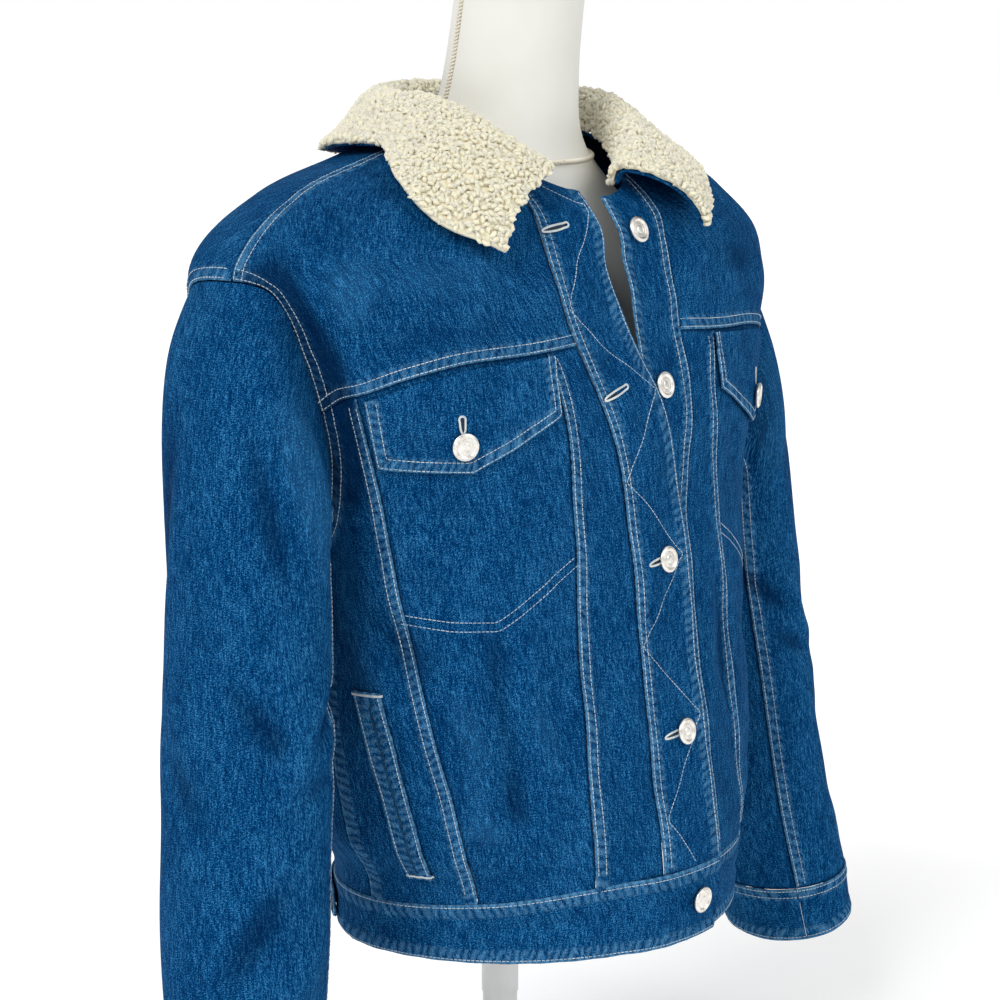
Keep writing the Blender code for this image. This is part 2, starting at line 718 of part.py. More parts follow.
def build_form():
    """A smooth limbless torso and neck on a pole and a round foot."""
    count = 28
    angle = np.linspace(0, 2 * math.pi, count, endpoint=False)
    rings = []
    for z in (
        TORSO_FOOT, 0.265, 0.30, 0.34, 0.38, 0.42, 0.46, 0.50, 0.54, 0.58, 0.62, 0.65, 0.675, 0.695,
        0.715, 0.735, 0.755, 0.775, 0.80, 0.83, 0.862, NECK_TOP - 0.008,
    ):
        half_width, front, back, centre_y = smooth_rows(FORM, np.array(z))
        depth = np.where(np.cos(angle) > 0, front, back)
        rings.append(
            np.stack(
                [half_width * np.sin(angle), centre_y - depth * np.cos(angle), np.full(count, z)], -1
            )
        )
    mesh = grid_mesh("dress_form", np.stack(rings), flip=False, wrap=True)
    close_ends(mesh)
    add_object("dress_form", mesh, FORM_FINISH, STAND)

    half_width, front, back, centre_y = smooth_rows(FORM, np.array(NECK_TOP))
    cap = cylinder_mesh("neck_cap", 1.0, 0.0, 0.006, 28)
    for vertex in cap.vertices:
        y = vertex.co.y
        vertex.co.x *= half_width
        vertex.co.y = centre_y + y * (front if y < 0 else back)
        vertex.co.z += NECK_TOP - 0.006
    add_object("neck_cap", cap, FORM_FINISH, STAND)

    pole = cylinder_mesh("stand_pole", POLE_RADIUS, BASE_HEIGHT + SEAM_GAP, TORSO_FOOT - SEAM_GAP, 24)
    add_object("stand_pole", pole, METAL_FINISH, STAND)

    profile = (
        (0.0, BASE_HEIGHT), (POLE_RADIUS * 2, BASE_HEIGHT), (BASE_RADIUS * 0.70, BASE_HEIGHT * 0.72),
        (BASE_RADIUS * 0.97, BASE_HEIGHT * 0.42), (BASE_RADIUS, BASE_HEIGHT * 0.22),
        (BASE_RADIUS, 0.0), (0.0, 0.0),
    )
    mesh = bpy.data.meshes.new("stand_base")
    mesh.from_pydata([(x, 0.0, z) for x, z in profile], [(i, i + 1) for i in range(len(profile) - 1)], [])
    base = add_object("stand_base", mesh, METAL_FINISH, STAND)
    screw = base.modifiers.new("turn", "SCREW")
    screw.angle = 2 * math.pi
    screw.steps = screw.render_steps = 32
    screw.use_merge_vertices = True
    screw.merge_threshold = 1e-5


def close_ends(mesh):
    """Fills the open rims of a tube."""
    work = bmesh.new()
    work.from_mesh(mesh)
    bmesh.ops.holes_fill(work, edges=work.edges, sides=0)
    bmesh.ops.recalc_face_normals(work, faces=work.faces)
    work.to_mesh(mesh)
    work.free()


def cylinder_mesh(name, radius, low, high, sides):
    work = bmesh.new()
    bmesh.ops.create_cone(
        work, cap_ends=True, segments=sides, radius1=radius, radius2=radius, depth=high - low
    )
    bmesh.ops.translate(work, verts=work.verts, vec=(0, 0, (low + high) / 2))
    mesh = bpy.data.meshes.new(name)
    work.to_mesh(mesh)
    work.free()
    return mesh


SIDES = (("right", -1), ("left", 1))

clear_scene()
COLLECTION = bpy.data.collections.new("sherpa_collar_jacket")
bpy.context.scene.collection.children.link(COLLECTION)
DENIM_FINISH = material("denim", (0.035, 0.105, 0.235), 0.88)
SHERPA_FINISH = material("sherpa", (0.78, 0.70, 0.53), 0.95)
METAL_FINISH = material("button_metal", (0.74, 0.71, 0.66), 0.35, metallic=1.0)
FORM_FINISH = material("form_cover", (0.86, 0.84, 0.78), 0.80)
JACKET = bpy.data.objects.new("jacket", None)
STAND = bpy.data.objects.new("stand", None)
COLLECTION.objects.link(JACKET)
COLLECTION.objects.link(STAND)

for label, side in SIDES:
    build_front(label, side)
    build_sleeve(label, side)
    build_flap(label, side)
    build_welt(label, side)
    build_waist_tab(label, side)
build_back()
build_waistband()
build_buttons()
build_collar()
build_form()
bpy.context.view_layer.update()
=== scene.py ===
"""Denim jacket with a curly sherpa collar, open at the neck, on a limbless dress form.

Metres, +Z up, the floor at z = 0. The wearer faces -Y and the wearer's right is -X.

The cloth of the body is one surface with two parameters: level, 0 at the hem and 1 at the neckline,
and turn, 0 at centre front, 1 at the side and 2 at centre back. Each cut panel is a patch of it
between seam curves. Folds and seams move its points along the normal, and the stitches read the
same surface, so they lie on the cloth.
"""

import math

import bpy
import numpy as np
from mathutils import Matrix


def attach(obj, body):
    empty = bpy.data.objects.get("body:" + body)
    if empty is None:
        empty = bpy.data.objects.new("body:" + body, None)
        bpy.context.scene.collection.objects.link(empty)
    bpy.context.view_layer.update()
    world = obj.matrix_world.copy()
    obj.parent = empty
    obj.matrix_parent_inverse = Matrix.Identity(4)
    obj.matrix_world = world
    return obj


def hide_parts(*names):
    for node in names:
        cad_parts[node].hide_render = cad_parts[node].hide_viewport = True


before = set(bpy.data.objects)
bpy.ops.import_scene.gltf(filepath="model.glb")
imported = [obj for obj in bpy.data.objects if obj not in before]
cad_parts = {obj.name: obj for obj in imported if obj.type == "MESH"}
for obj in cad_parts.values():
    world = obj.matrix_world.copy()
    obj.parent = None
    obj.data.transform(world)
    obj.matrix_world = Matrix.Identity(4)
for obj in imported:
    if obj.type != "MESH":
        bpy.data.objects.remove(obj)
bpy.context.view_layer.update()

# Cloth and seams
DENIM = 0.0016
WAISTBAND_WALL = 0.0022
SHERPA_BACKING = 0.0026
SEAM_GAP = 0.00005
COLLAR_GAP = 0.0006
LAY_CLEARANCE = 0.0012
RIGHT_FRONT_LIFT = 0.0028
PITCH = 0.0036
EDGE_LINES = (0.0, 0.0007, 0.0016, 0.0030)
SEAM_STRIP = 0.0088
SEAM_RISE = 0.0009
PUCKER_HEIGHT = 0.00016
SEAM_DITCH = 0.0005
# The level by which a panel's foot runs down behind the waistband.
TUCK = 0.005

# Stitches
STITCH_PITCH = 0.0031
STITCH_LENGTH = 0.0027
THREAD = 0.00027
ROWS = (0.0018, 0.0078)

HEM_HEIGHT = 0.215
NECK_TOP = 0.900

# Closure, measured from centre front
PLACKET_INNER = 0.034
OVERLAP = 0.026
UNDERLAP = 0.020
LAPEL_SHIFT_RIGHT = 0.048
LAPEL_SHIFT_LEFT = 0.020

BUTTON_RADIUS = 0.0095
BUTTON_HEIGHT = 0.0036
BUTTON_GAP = 0.0004
BUTTON_LEVELS = (0.912, 0.640, 0.438, 0.242)
WAIST_BUTTON_LEVEL = 0.050
# The level below which a front button is fastened.
FASTENED_BELOW = 0.5
# The right front's buttonholes, for each button: metres past its edge's swing, drop in level, slope.
PLACKET_HOLES = ((0.018, 0.020, -0.45), (0.018, 0.0, -0.30), (0.007, 0.0, -0.10), (0.007, 0.0, -0.10))
# Distance of the row of stitches that follows the placket's edge.
PLACKET_EDGE_ROW = 0.0022

POLE_RADIUS = 0.014
BASE_RADIUS = 0.150
BASE_HEIGHT = 0.020
TORSO_FOOT = 0.232

# Between the two rows along the foot of a chest pocket
POCKET_ROW_GAP = 0.0062

# Laid pieces, in turn and level
FLAP_TURNS = (0.398, 0.626, 0.806)
FLAP_FOOT = (0.622, 0.573, 0.585)
FLAP_BUTTON = (0.640, 0.603)
WELT_LEVELS = (0.098, 0.332)
WELT_INNER_TURNS = (0.790, 0.850)
WELT_WIDTH = 0.068
# Distance of the stitches from the welt's long sides and from the tab's edge, in metres
WELT_ROW, TAB_ROW = 0.0022, 0.0024
TAB_TURNS = (1.20, 1.62)
TAB_LEVELS = (0.008, 0.056)
TAB_BUTTON = (1.245, 0.032)
# How far the tab stands out past the other laid pieces, and how far its corners are cut in level.
TAB_LIFT = 0.0012
TAB_NARROWING = 0.006

# Seam curves as pairs of turn and level, or of level and turn for the slanted ones
WAIST_SEAM = ((0.0, 0.088), (0.2, 0.088), (0.35, 0.086), (0.65, 0.074), (1.0, 0.064), (2.0, 0.064))
FRONT_YOKE = ((0.0, 0.745), (0.25, 0.717), (0.45, 0.699), (0.62, 0.688), (0.82, 0.655), (0.90, 0.6325))
OUTER_V = ((0.05, 0.675), (0.18, 0.710), (0.28, 0.745), (0.38, 0.776), (0.50, 0.805), (0.67, 0.820))
INNER_V = ((0.05, 0.354), (0.20, 0.365), (0.38, 0.370), (0.50, 0.362), (0.60, 0.375), (0.72, 0.420))
BACK_V = ((0.05, 1.780), (0.40, 1.730), (0.70, 1.640))
POCKET_FOOT = (
    (0.372, 0.464), (0.440, 0.451), (0.522, 0.427), (0.588, 0.408), (0.690, 0.414), (0.795, 0.424),
)

# Columns: level, half_width, front, back, centre_y, z_front, z_side, z_back, square.
RINGS = np.array([
    (0.00, 0.164, 0.156, 0.112, -0.022, -0.012, -0.012, -0.010, 1.95),
    (0.08, 0.168, 0.161, 0.115, -0.022, 0.037, 0.037, 0.038, 1.95),
    (0.13, 0.186, 0.158, 0.126, -0.020, 0.074, 0.074, 0.075, 2.05),
    (0.25, 0.198, 0.150, 0.134, -0.016, 0.142, 0.140, 0.142, 2.15),
    (0.40, 0.204, 0.143, 0.136, -0.010, 0.235, 0.225, 0.235, 2.25),
    (0.52, 0.212, 0.137, 0.134, -0.006, 0.312, 0.297, 0.315, 2.35),
    (0.64, 0.238, 0.134, 0.130, 0.000, 0.380, 0.380, 0.390, 2.50),
    (0.76, 0.264, 0.130, 0.120, 0.009, 0.430, 0.462, 0.452, 2.60),
    (0.86, 0.205, 0.120, 0.104, 0.007, 0.468, 0.519, 0.502, 2.50),
    (0.93, 0.140, 0.108, 0.086, 0.002, 0.492, 0.541, 0.535, 2.30),
    (1.00, 0.084, 0.094, 0.070, 0.002, 0.512, 0.554, 0.560, 2.00),
])

ARM_LOW, ARM_HIGH = 0.50, 0.765
ARM_FRONT, ARM_BACK = 0.095, 0.18
ARM_TOP_SQUARE = 3.2
FRONT_YOKE_ANGLE = 90
BACK_YOKE_ANGLE = -75

# Columns: run, centre_x, centre_y, centre_z, half_across, half_deep, tilt.
SLEEVES = np.array([
    (0.000, 0.239, 0.006, 0.380, 0.087, 0.046, 18.0),
    (0.100, 0.258, -0.001, 0.350, 0.070, 0.054, 36.0),
    (0.220, 0.269, -0.006, 0.300, 0.051, 0.060, 62.0),
    (0.380, 0.274, -0.011, 0.220, 0.051, 0.061, 82.0),
    (0.600, 0.287, -0.020, 0.115, 0.050, 0.062, 86.0),
    (0.800, 0.302, -0.031, 0.008, 0.049, 0.060, 86.0),
    (0.925, 0.313, -0.043, -0.062, 0.047, 0.058, 78.0),
    (1.000, 0.319, -0.050, -0.103, 0.045, 0.056, 72.0),
])
SLEEVE_EASE_RUN = 0.30
SLEEVE_START = 0.0012
CUFF_RUN = 0.925
CUFF_GAP_DEGREES = 0.2
SLEEVE_SEAM_FRONT = 135
SLEEVE_SEAM_BACK = -105

# Columns: along the neckline, then the collar edge's turn, level and height off the body, and the
# stand's height.
COLLAR_RIGHT = np.array([
    (0.36, 0.548, 0.818, 0.009, 0.004),
    (0.60, 0.668, 0.834, 0.009, 0.010),
    (0.80, 0.790, 0.882, 0.008, 0.017),
    (1.00, 0.950, 0.932, 0.008, 0.022),
    (1.50, 1.500, 0.916, 0.008, 0.022),
    (2.00, 2.000, 0.900, 0.008, 0.022),
])
COLLAR_LEFT = np.array([
    (0.16, 0.345, 0.862, 0.020, 0.012),
    (0.35, 0.500, 0.893, 0.014, 0.017),
    (0.60, 0.660, 0.920, 0.010, 0.021),
    (1.00, 1.000, 0.948, 0.008, 0.022),
    (1.50, 1.500, 0.918, 0.008, 0.022),
    (2.00, 2.000, 0.900, 0.008, 0.022),
])
COLLAR_ROLL = 0.008
# Columns of each half of the collar's grid.
COLLAR_COLUMNS = 70

# Columns: z, half_width, front, back, centre_y.
FORM = np.array([
    (TORSO_FOOT, 0.128, 0.100, 0.088, -0.008),
    (0.300, 0.124, 0.096, 0.082, -0.008),
    (0.380, 0.124, 0.094, 0.082, -0.004),
    (0.460, 0.138, 0.106, 0.092, -0.002),
    (0.530, 0.148, 0.114, 0.098, 0.000),
    (0.600, 0.158, 0.104, 0.098, 0.004),
    (0.650, 0.168, 0.090, 0.088, 0.006),
    (0.690, 0.158, 0.076, 0.076, 0.006),
    (0.720, 0.126, 0.068, 0.068, 0.006),
    (0.745, 0.090, 0.062, 0.060, 0.004),
    (0.765, 0.066, 0.056, 0.054, 0.000),
    (0.790, 0.052, 0.052, 0.050, -0.006),
    (0.830, 0.047, 0.049, 0.047, -0.012),
    (0.870, 0.046, 0.048, 0.046, -0.018),
    (NECK_TOP - 0.008, 0.047, 0.049, 0.047, -0.022),
])

# Folds of the body: side (0 is both), from turn and level, to turn and level, half width, height.
FOLDS = np.array([
    (-1, 0.600, 0.400, 0.560, 0.130, 0.013, -0.0038),
    (-1, 0.680, 0.390, 0.640, 0.140, 0.015, 0.0026),
    (-1, 0.500, 0.370, 0.470, 0.130, 0.012, 0.0022),
    (-1, 0.900, 0.520, 0.720, 0.440, 0.011, -0.0026),
    (-1, 0.930, 0.470, 0.740, 0.340, 0.012, -0.0030),
    (-1, 0.940, 0.430, 0.830, 0.300, 0.010, 0.0020),
    (-1, 0.880, 0.690, 0.520, 0.740, 0.014, -0.0018),
    (-1, 0.850, 0.760, 0.480, 0.800, 0.016, 0.0016),
    (-1, 0.955, 0.790, 0.880, 0.690, 0.015, -0.0090),
    (-1, 0.880, 0.700, 0.880, 0.560, 0.015, -0.0100),
    (-1, 0.800, 0.800, 0.800, 0.680, 0.012, 0.0030),
    (-1, 0.300, 0.330, 0.250, 0.130, 0.010, -0.0020),
    (-1, 0.760, 0.170, 0.400, 0.120, 0.009, 0.0018),
    (-1, 0.720, 0.135, 0.300, 0.112, 0.006, -0.0014),
    (1, 0.620, 0.400, 0.600, 0.140, 0.013, -0.0034),
    (1, 0.780, 0.500, 0.560, 0.330, 0.012, -0.0026),
    (1, 0.900, 0.500, 0.700, 0.250, 0.013, 0.0026),
    (1, 0.300, 0.420, 0.330, 0.150, 0.011, -0.0022),
    (1, 0.860, 0.760, 0.420, 0.790, 0.015, -0.0020),
    (0, 1.200, 0.470, 1.250, 0.140, 0.014, -0.0032),
    (0, 1.340, 0.500, 1.380, 0.150, 0.016, 0.0028),
    (0, 1.520, 0.460, 1.500, 0.130, 0.014, -0.0028),
    (0, 1.860, 0.520, 1.820, 0.140, 0.015, -0.0026),
    (0, 1.300, 0.700, 1.800, 0.660, 0.014, -0.0022),
    (0, 1.120, 0.430, 1.420, 0.330, 0.012, -0.0024),
    (0, 1.050, 0.180, 1.900, 0.150, 0.010, 0.0022),
    (0, 1.050, 0.125, 1.950, 0.118, 0.008, -0.0018),
])

# Folds of a sleeve: from degrees and run, to degrees and run, half width, height.
SLEEVE_FOLDS = np.array([
    (72.0, 0.07, 108.0, 0.22, 0.015, 0.0062),
    (30.0, 0.10, 70.0, 0.30, 0.012, -0.0030),
    (60.0, 0.12, 110.0, 0.28, 0.011, 0.0026),
    (-20.0, 0.14, -60.0, 0.34, 0.013, -0.0028),
    (20.0, 0.40, 80.0, 0.52, 0.012, -0.0026),
    (100.0, 0.42, 60.0, 0.60, 0.012, 0.0024),
    (150.0, 0.40, 90.0, 0.50, 0.010, -0.0034),
    (130.0, 0.52, 60.0, 0.58, 0.010, -0.0026),
    (-40.0, 0.48, 10.0, 0.62, 0.014, -0.0020),
    (70.0, 0.66, 20.0, 0.80, 0.013, -0.0024),
    (110.0, 0.74, 60.0, 0.86, 0.011, 0.0022),
    (-70.0, 0.60, -110.0, 0.80, 0.013, -0.0026),
    (-130.0, 0.44, -80.0, 0.52, 0.011, -0.0030),
])
FOLD_DEPTH, SLEEVE_FOLD_DEPTH = 1.35, 1.6
# Heights of the slow waves that keep the cloth from being perfectly smooth.
BROAD_WAVES, FINE_WAVES, SLEEVE_WAVES = 0.0011, 0.0006, 0.0008
QUARTER_GIRTH = 0.30
BODY_LENGTH = 0.56
SLEEVE_LENGTH = 0.52
SLEEVE_RADIUS = 0.056


# Curves and surfaces


def smooth_rows(table, at):
    """Rows of the table read between their stations by a monotone cubic, with no overshoot."""
    station, values = table[:, 0], table[:, 1:]
    step = np.diff(station)[:, None]
    slope = np.diff(values, axis=0) / step
    tangent = np.zeros_like(values)
    same_way = slope[1:] * slope[:-1] > 0
    total = np.where(same_way, slope[1:] + slope[:-1], 1.0)
    tangent[1:-1] = np.where(same_way, 2 * slope[1:] * slope[:-1] / total, 0.0)
    tangent[0], tangent[-1] = slope[0], slope[-1]
    at = np.clip(at, station[0], station[-1])
    row = np.clip(np.searchsorted(station, at, side="right") - 1, 0, len(station) - 2)
    width = step[row]
    s = (at - station[row])[..., None] / width
    rise = s * s * (3 - 2 * s)
    leave = s * (1 - s) ** 2 * width * tangent[row]
    arrive = s * s * (s - 1) * width * tangent[row + 1]
    return values[row] * (1 - rise) + values[row + 1] * rise + leave + arrive


def read(pairs, at):
    """A curve given by a short table of pairs, smoothed."""
    return smooth_rows(np.array(pairs), np.asarray(at, float))[..., 0]


def smooth_step(x):
    x = np.clip(x, 0.0, 1.0)
    return x * x * (3 - 2 * x)


def unit(vectors):
    return vectors / np.maximum(np.linalg.norm(vectors, axis=-1, keepdims=True), 1e-12)


def body(turn, level, side=1):
    """The plain surface of the body.

    A ring at this level is a superellipse: its radius at this turn is the sum of |sine / half width|
    and |cosine / depth|, each to the power square, to the power -1 / square. Its height runs from
    z_side to z_front or z_back by the square of the cosine.
    """
    turn, level = np.broadcast_arrays(np.asarray(turn, float), np.asarray(level, float))
    columns = np.moveaxis(smooth_rows(RINGS, level), -1, 0)
    half_width, front, back, centre_y, z_front, z_side, z_back, square = columns
    sine, cosine = np.sin(turn * math.pi / 2), np.cos(turn * math.pi / 2)
    depth = np.where(cosine > 0, front, back)
    radius = (np.abs(sine / half_width) ** square + np.abs(cosine / depth) ** square) ** (-1 / square)
    z_end = np.where(cosine > 0, z_front, z_back)
    z = HEM_HEIGHT + z_side + (z_end - z_side) * cosine**2
    return np.stack([side * radius * sine, centre_y - radius * cosine, z], -1)


def body_slopes(turn, level, side):
    """How the body's point moves per unit of turn and per unit of level."""
    reach = 1e-4
    level = np.clip(level, reach, 1 - reach)
    around = body(turn + reach, level, side) - body(turn - reach, level, side)
    upward = body(turn, level + reach, side) - body(turn, level - reach, side)
    return around / (2 * reach), upward / (2 * reach)


def body_normal(turn, level, side):
    around, upward = body_slopes(turn, level, side)
    return unit(np.cross(around, upward)) * side


def body_frame(turn, level, side):
    """The body's plain points and its normals."""
    return body(turn, level, side), body_normal(turn, level, side)


def fold_sum(rows, across, along, scale_across, scale_along):
    """Folds as ridges: height times the bell of the distance from a segment, fading at its ends."""
    total = np.zeros(np.broadcast(across, along).shape)
    x, y = across * scale_across, along * scale_along
    for a, b, c, d, width, height in rows:
        start = np.array([a * scale_across, b * scale_along])
        way = np.array([c * scale_across, d * scale_along]) - start
        share = ((x - start[0]) * way[0] + (y - start[1]) * way[1]) / (way @ way)
        held = np.clip(share, 0, 1)
        gap = np.hypot(x - start[0] - held * way[0], y - start[1] - held * way[1])
        fade = 0.35 + 0.65 * np.sin(np.pi * held)
        total += height * fade * np.exp(-((gap / width) ** 2))
    return total


def folds(turn, level, side):
    """The body's folds and its slow unevenness, faded out at the neckline and over the waistband.

    The unevenness is a product of sines of level and of whole turns round the body, so it closes.
    """
    past_back = turn > 2
    near = np.where(past_back, 4 - turn, turn)
    hand = np.where(past_back, -side, side)
    total = np.zeros(np.broadcast(turn, level).shape)
    for own in (-1, 1):
        chosen = FOLDS[(FOLDS[:, 0] == 0) | (FOLDS[:, 0] == own)][:, 1:]
        if (hand == own).any():
            total += (hand == own) * fold_sum(chosen, near, level, QUARTER_GIRTH, BODY_LENGTH)
    angle = hand * near * math.pi / 2
    total += BROAD_WAVES * np.sin(6 * angle + 14 * level) * np.sin(23 * level - 5 * angle)
    total += FINE_WAVES * np.sin(24 * angle + 21 * level) * np.sin(44 * level + 3 * angle)
    open_end = smooth_step((0.97 - level) / 0.10) * smooth_step((level - 0.088) / 0.06)
    return total * open_end * FOLD_DEPTH


def turn_at(across, level):
    """The turn at which the front of a ring is this far from the middle, from the ring's formula."""
    columns = np.moveaxis(smooth_rows(RINGS, np.asarray(level, float)), -1, 0)
    half_width, front, square = columns[0], columns[1], columns[-1]
    ahead = front * (1 - np.abs(across / half_width) ** square) ** (1 / square)
    return np.arctan2(across, ahead) / (math.pi / 2)


def lapel_shift(level, side):
    """How far each front has swung open from centre front, above the fastened buttons."""
    if side < 0:
        return LAPEL_SHIFT_RIGHT * smooth_step((level - 0.49) / 0.36)
    return LAPEL_SHIFT_LEFT * smooth_step((level - 0.45) / 0.20)


def placket_seam(level, side):
    return turn_at(PLACKET_INNER + lapel_shift(level, side), level)


def placket_edge(level, side):
    reach = OVERLAP if side < 0 else UNDERLAP
    return turn_at(lapel_shift(level, side) - reach, level)


def oval(angle, top_square=ARM_TOP_SQUARE):
    """Sine and cosine of a point of an oval that is squarer at its top than at its foot."""
    square = np.where(np.cos(angle) > 0, top_square, 2.0)
    corner = (np.abs(np.sin(angle)) ** square + np.abs(np.cos(angle)) ** square) ** (-1 / square)
    return corner * np.sin(angle), corner * np.cos(angle)


def armhole(degrees):
    """Turn and level of the armhole at this angle, 0 at the shoulder and 90 at the front."""
    sine, cosine = oval(np.radians(degrees))
    middle, half = (ARM_LOW + ARM_HIGH) / 2, (ARM_HIGH - ARM_LOW) / 2
    return 1 - np.where(sine > 0, ARM_FRONT, ARM_BACK) * sine, middle + half * cosine


def tilted_oval(row, sine, cosine):
    """Points of a sleeve section: its centre, half sizes and the tilt of its top away from upright."""
    centre_x, centre_y, centre_z, across, deep, tilt = row
    tilt = np.radians(tilt)
    out, up = across * cosine * np.sin(tilt), across * cosine * np.cos(tilt)
    return np.stack([centre_x + out, centre_y - deep * sine, HEM_HEIGHT + centre_z + up], -1)


def sleeve(degrees, run, side):
    """The plain sleeve: ovals along its run that start on the armhole and turn from upright to level."""
    degrees, run = np.broadcast_arrays(np.asarray(degrees, float), np.asarray(run, float))
    angle = np.radians(degrees)
    ease = 1 - smooth_step(run / SLEEVE_EASE_RUN)
    sections = tilted_oval(
        np.moveaxis(smooth_rows(SLEEVES, run), -1, 0), *oval(angle, 2 + (ARM_TOP_SQUARE - 2) * ease)
    )
    first = tilted_oval(SLEEVES[0, 1:], *oval(angle))
    turn, level = armhole(degrees)
    hole = body(turn, level) + body_normal(turn, level, 1) * folds(turn, level, side)[..., None]
    return (sections + ease[..., None] * (hole - first)) * (side, 1, 1)


def sleeve_slopes(degrees, run, side):
    """How the sleeve's point moves per unit of run and per degree."""
    low, high = np.clip(run - 1e-3, 0, 1), np.clip(run + 1e-3, 0, 1)
    along = (sleeve(degrees, high, side) - sleeve(degrees, low, side)) / (high - low)[..., None]
    around = (sleeve(degrees + 0.5, run, side) - sleeve(degrees - 0.5, run, side))
    return around, along


def sleeve_normal(degrees, run, side):
    around, along = sleeve_slopes(degrees, run, side)
    return unit(np.cross(around, along)) * side


def sleeve_frame(degrees, run, side):
    """The sleeve's plain points and its normals."""
    return sleeve(degrees, run, side), sleeve_normal(degrees, run, side)


def sleeve_folds(degrees, run, side):
    turned = (degrees + 180) % 360 - 180
    radians = np.radians(turned)
    total = fold_sum(
        SLEEVE_FOLDS, turned, run, math.radians(1) * SLEEVE_RADIUS, SLEEVE_LENGTH
    )
    total += SLEEVE_WAVES * np.sin(2 * radians + 9 * run + side) * np.sin(17 * run + side)
    return total * SLEEVE_FOLD_DEPTH * smooth_step((run - 0.01) / 0.10) * smooth_step((1.0 - run) / 0.08)


# Seams


def seam_line(points, normals, lap):
    """A seam as its points, the way across it towards the lapped cloth, and a place along it.

    The place is z + 0.9 |x| + 1.1 y, which runs on without a jump where one seam meets another.
    """
    across = unit(np.cross(normals, np.gradient(points, axis=0))) * lap
    return points, across, points[:, 2] + 0.9 * np.abs(points[:, 0]) + 1.1 * points[:, 1]


# The distance given where no seam is nearer.
NO_SEAM_NEAR = 0.05


def nearest_seam(points, seams):
    """Signed distance to the nearest seam, and how far along it: plus is the lapped, raised cloth."""
    flat = points.reshape(-1, 3)
    best = np.full(len(flat), NO_SEAM_NEAR)
    away, along = np.full(len(flat), -NO_SEAM_NEAR), np.zeros(len(flat))
    for line, across, length in seams:
        low, high = line.min(0) - 0.03, line.max(0) + 0.03
        near = np.flatnonzero(((flat > low) & (flat < high)).all(1))
        if not len(near):
            continue
        gap = flat[near, None] - line[None]
        distance = np.sqrt((gap**2).sum(-1))
        pick = distance.argmin(1)
        distance = distance[np.arange(len(near)), pick]
        offset = gap[np.arange(len(near)), pick]
        sign = np.where((offset * across[pick]).sum(-1) >= 0, 1.0, -1.0)
        closer = distance < best[near]
        chosen = near[closer]
        best[chosen], along[chosen] = distance[closer], length[pick[closer]]
        away[chosen] = (distance * sign)[closer]
    return away.reshape(points.shape[:-1]), along.reshape(points.shape[:-1])


def seam_rise(away, along):
    """Height that a felled seam adds: a flat strip on the lapped side, puckered by its rows."""
    strip = smooth_step((away + 0.0002) / 0.0010) * smooth_step((SEAM_STRIP + 0.0012 - away) / 0.0024)
    pucker = np.sin(along * 830 + 2.1 * np.sin(along * 61)) * PUCKER_HEIGHT
    under = np.exp(-(((away + 0.0009) / 0.0012) ** 2)) * SEAM_DITCH
    return strip * (SEAM_RISE + pucker) - under


# Meshes


def grid_mesh(name, points, flip, wrap=False):
    """A smooth mesh of quads on a grid of points."""
    rows, columns = points.shape[:2]
    index = np.arange(rows * columns).reshape(rows, columns)
    right = np.roll(index, -1, axis=1) if wrap else index[:, 1:]
    left = index if wrap else index[:, :-1]
    quads = np.stack([left[:-1], right[:-1], right[1:], left[1:]], -1).reshape(-1, 4)
    if flip:
        quads = quads[:, ::-1]
    return mesh_of(name, points.reshape(-1, 3), quads)


def mesh_of(name, points, faces):
    """A mesh from whole arrays of points and of faces with one number of corners."""
    mesh = bpy.data.meshes.new(name)
    mesh.vertices.add(len(points))
    mesh.vertices.foreach_set("co", np.ascontiguousarray(points, np.float32).ravel())
    corners = faces.shape[1]
    mesh.loops.add(faces.size)
    mesh.loops.foreach_set("vertex_index", np.ascontiguousarray(faces, np.int32).ravel())
    mesh.polygons.add(len(faces))
    mesh.polygons.foreach_set("loop_start", np.arange(0, faces.size, corners, dtype=np.int32))
    mesh.update(calc_edges=True)
    mesh.validate()
    mesh.shade_smooth()
    return mesh


def add_values(mesh, name, values):
    """One number for each vertex, which a material reads by this name."""
    made = mesh.attributes.new(name, "FLOAT", "POINT")
    made.data.foreach_set("value", np.ascontiguousarray(values, np.float32).ravel())


def add_cloth_map(mesh, u, v):
    """A UV map in metres of cloth, so that the weave has its real size."""
    layer = mesh.uv_layers.new(name="cloth")
    corner = np.empty(len(mesh.loops), np.int32)
    mesh.loops.foreach_get("vertex_index", corner)
    pairs = np.stack([u.ravel(), v.ravel()], -1)[corner]
    layer.data.foreach_set("uv", np.ascontiguousarray(pairs, np.float32).ravel())


def add_piece(name, mesh, finish, node=None):
    """A piece of the object that rides on its one body, in the place of this node."""
    made = bpy.data.objects.new(name, mesh)
    mesh.materials.append(finish)
    bpy.context.scene.collection.objects.link(made)
    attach(made, "root")
    if node:
        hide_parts(node)
    return made


def add_wall(made, wall):
    solid = made.modifiers.new("wall", "SOLIDIFY")
    solid.thickness = wall
    solid.offset = -1.0
    solid.use_even_offset = False
    return made


def lengths_along(points, axis):
    """Length so far along each row or column of a grid."""
    step = np.linalg.norm(np.diff(points, axis=axis), axis=-1)
    pad = [(0, 0), (0, 0)]
    pad[axis] = (1, 0)
    return np.pad(np.cumsum(step, axis=axis), pad)


# The height of a fold at which the denim's painted shade in its hollow and its light tone on its ridge
# are full.
FULL_FOLD_SHADE = 0.006


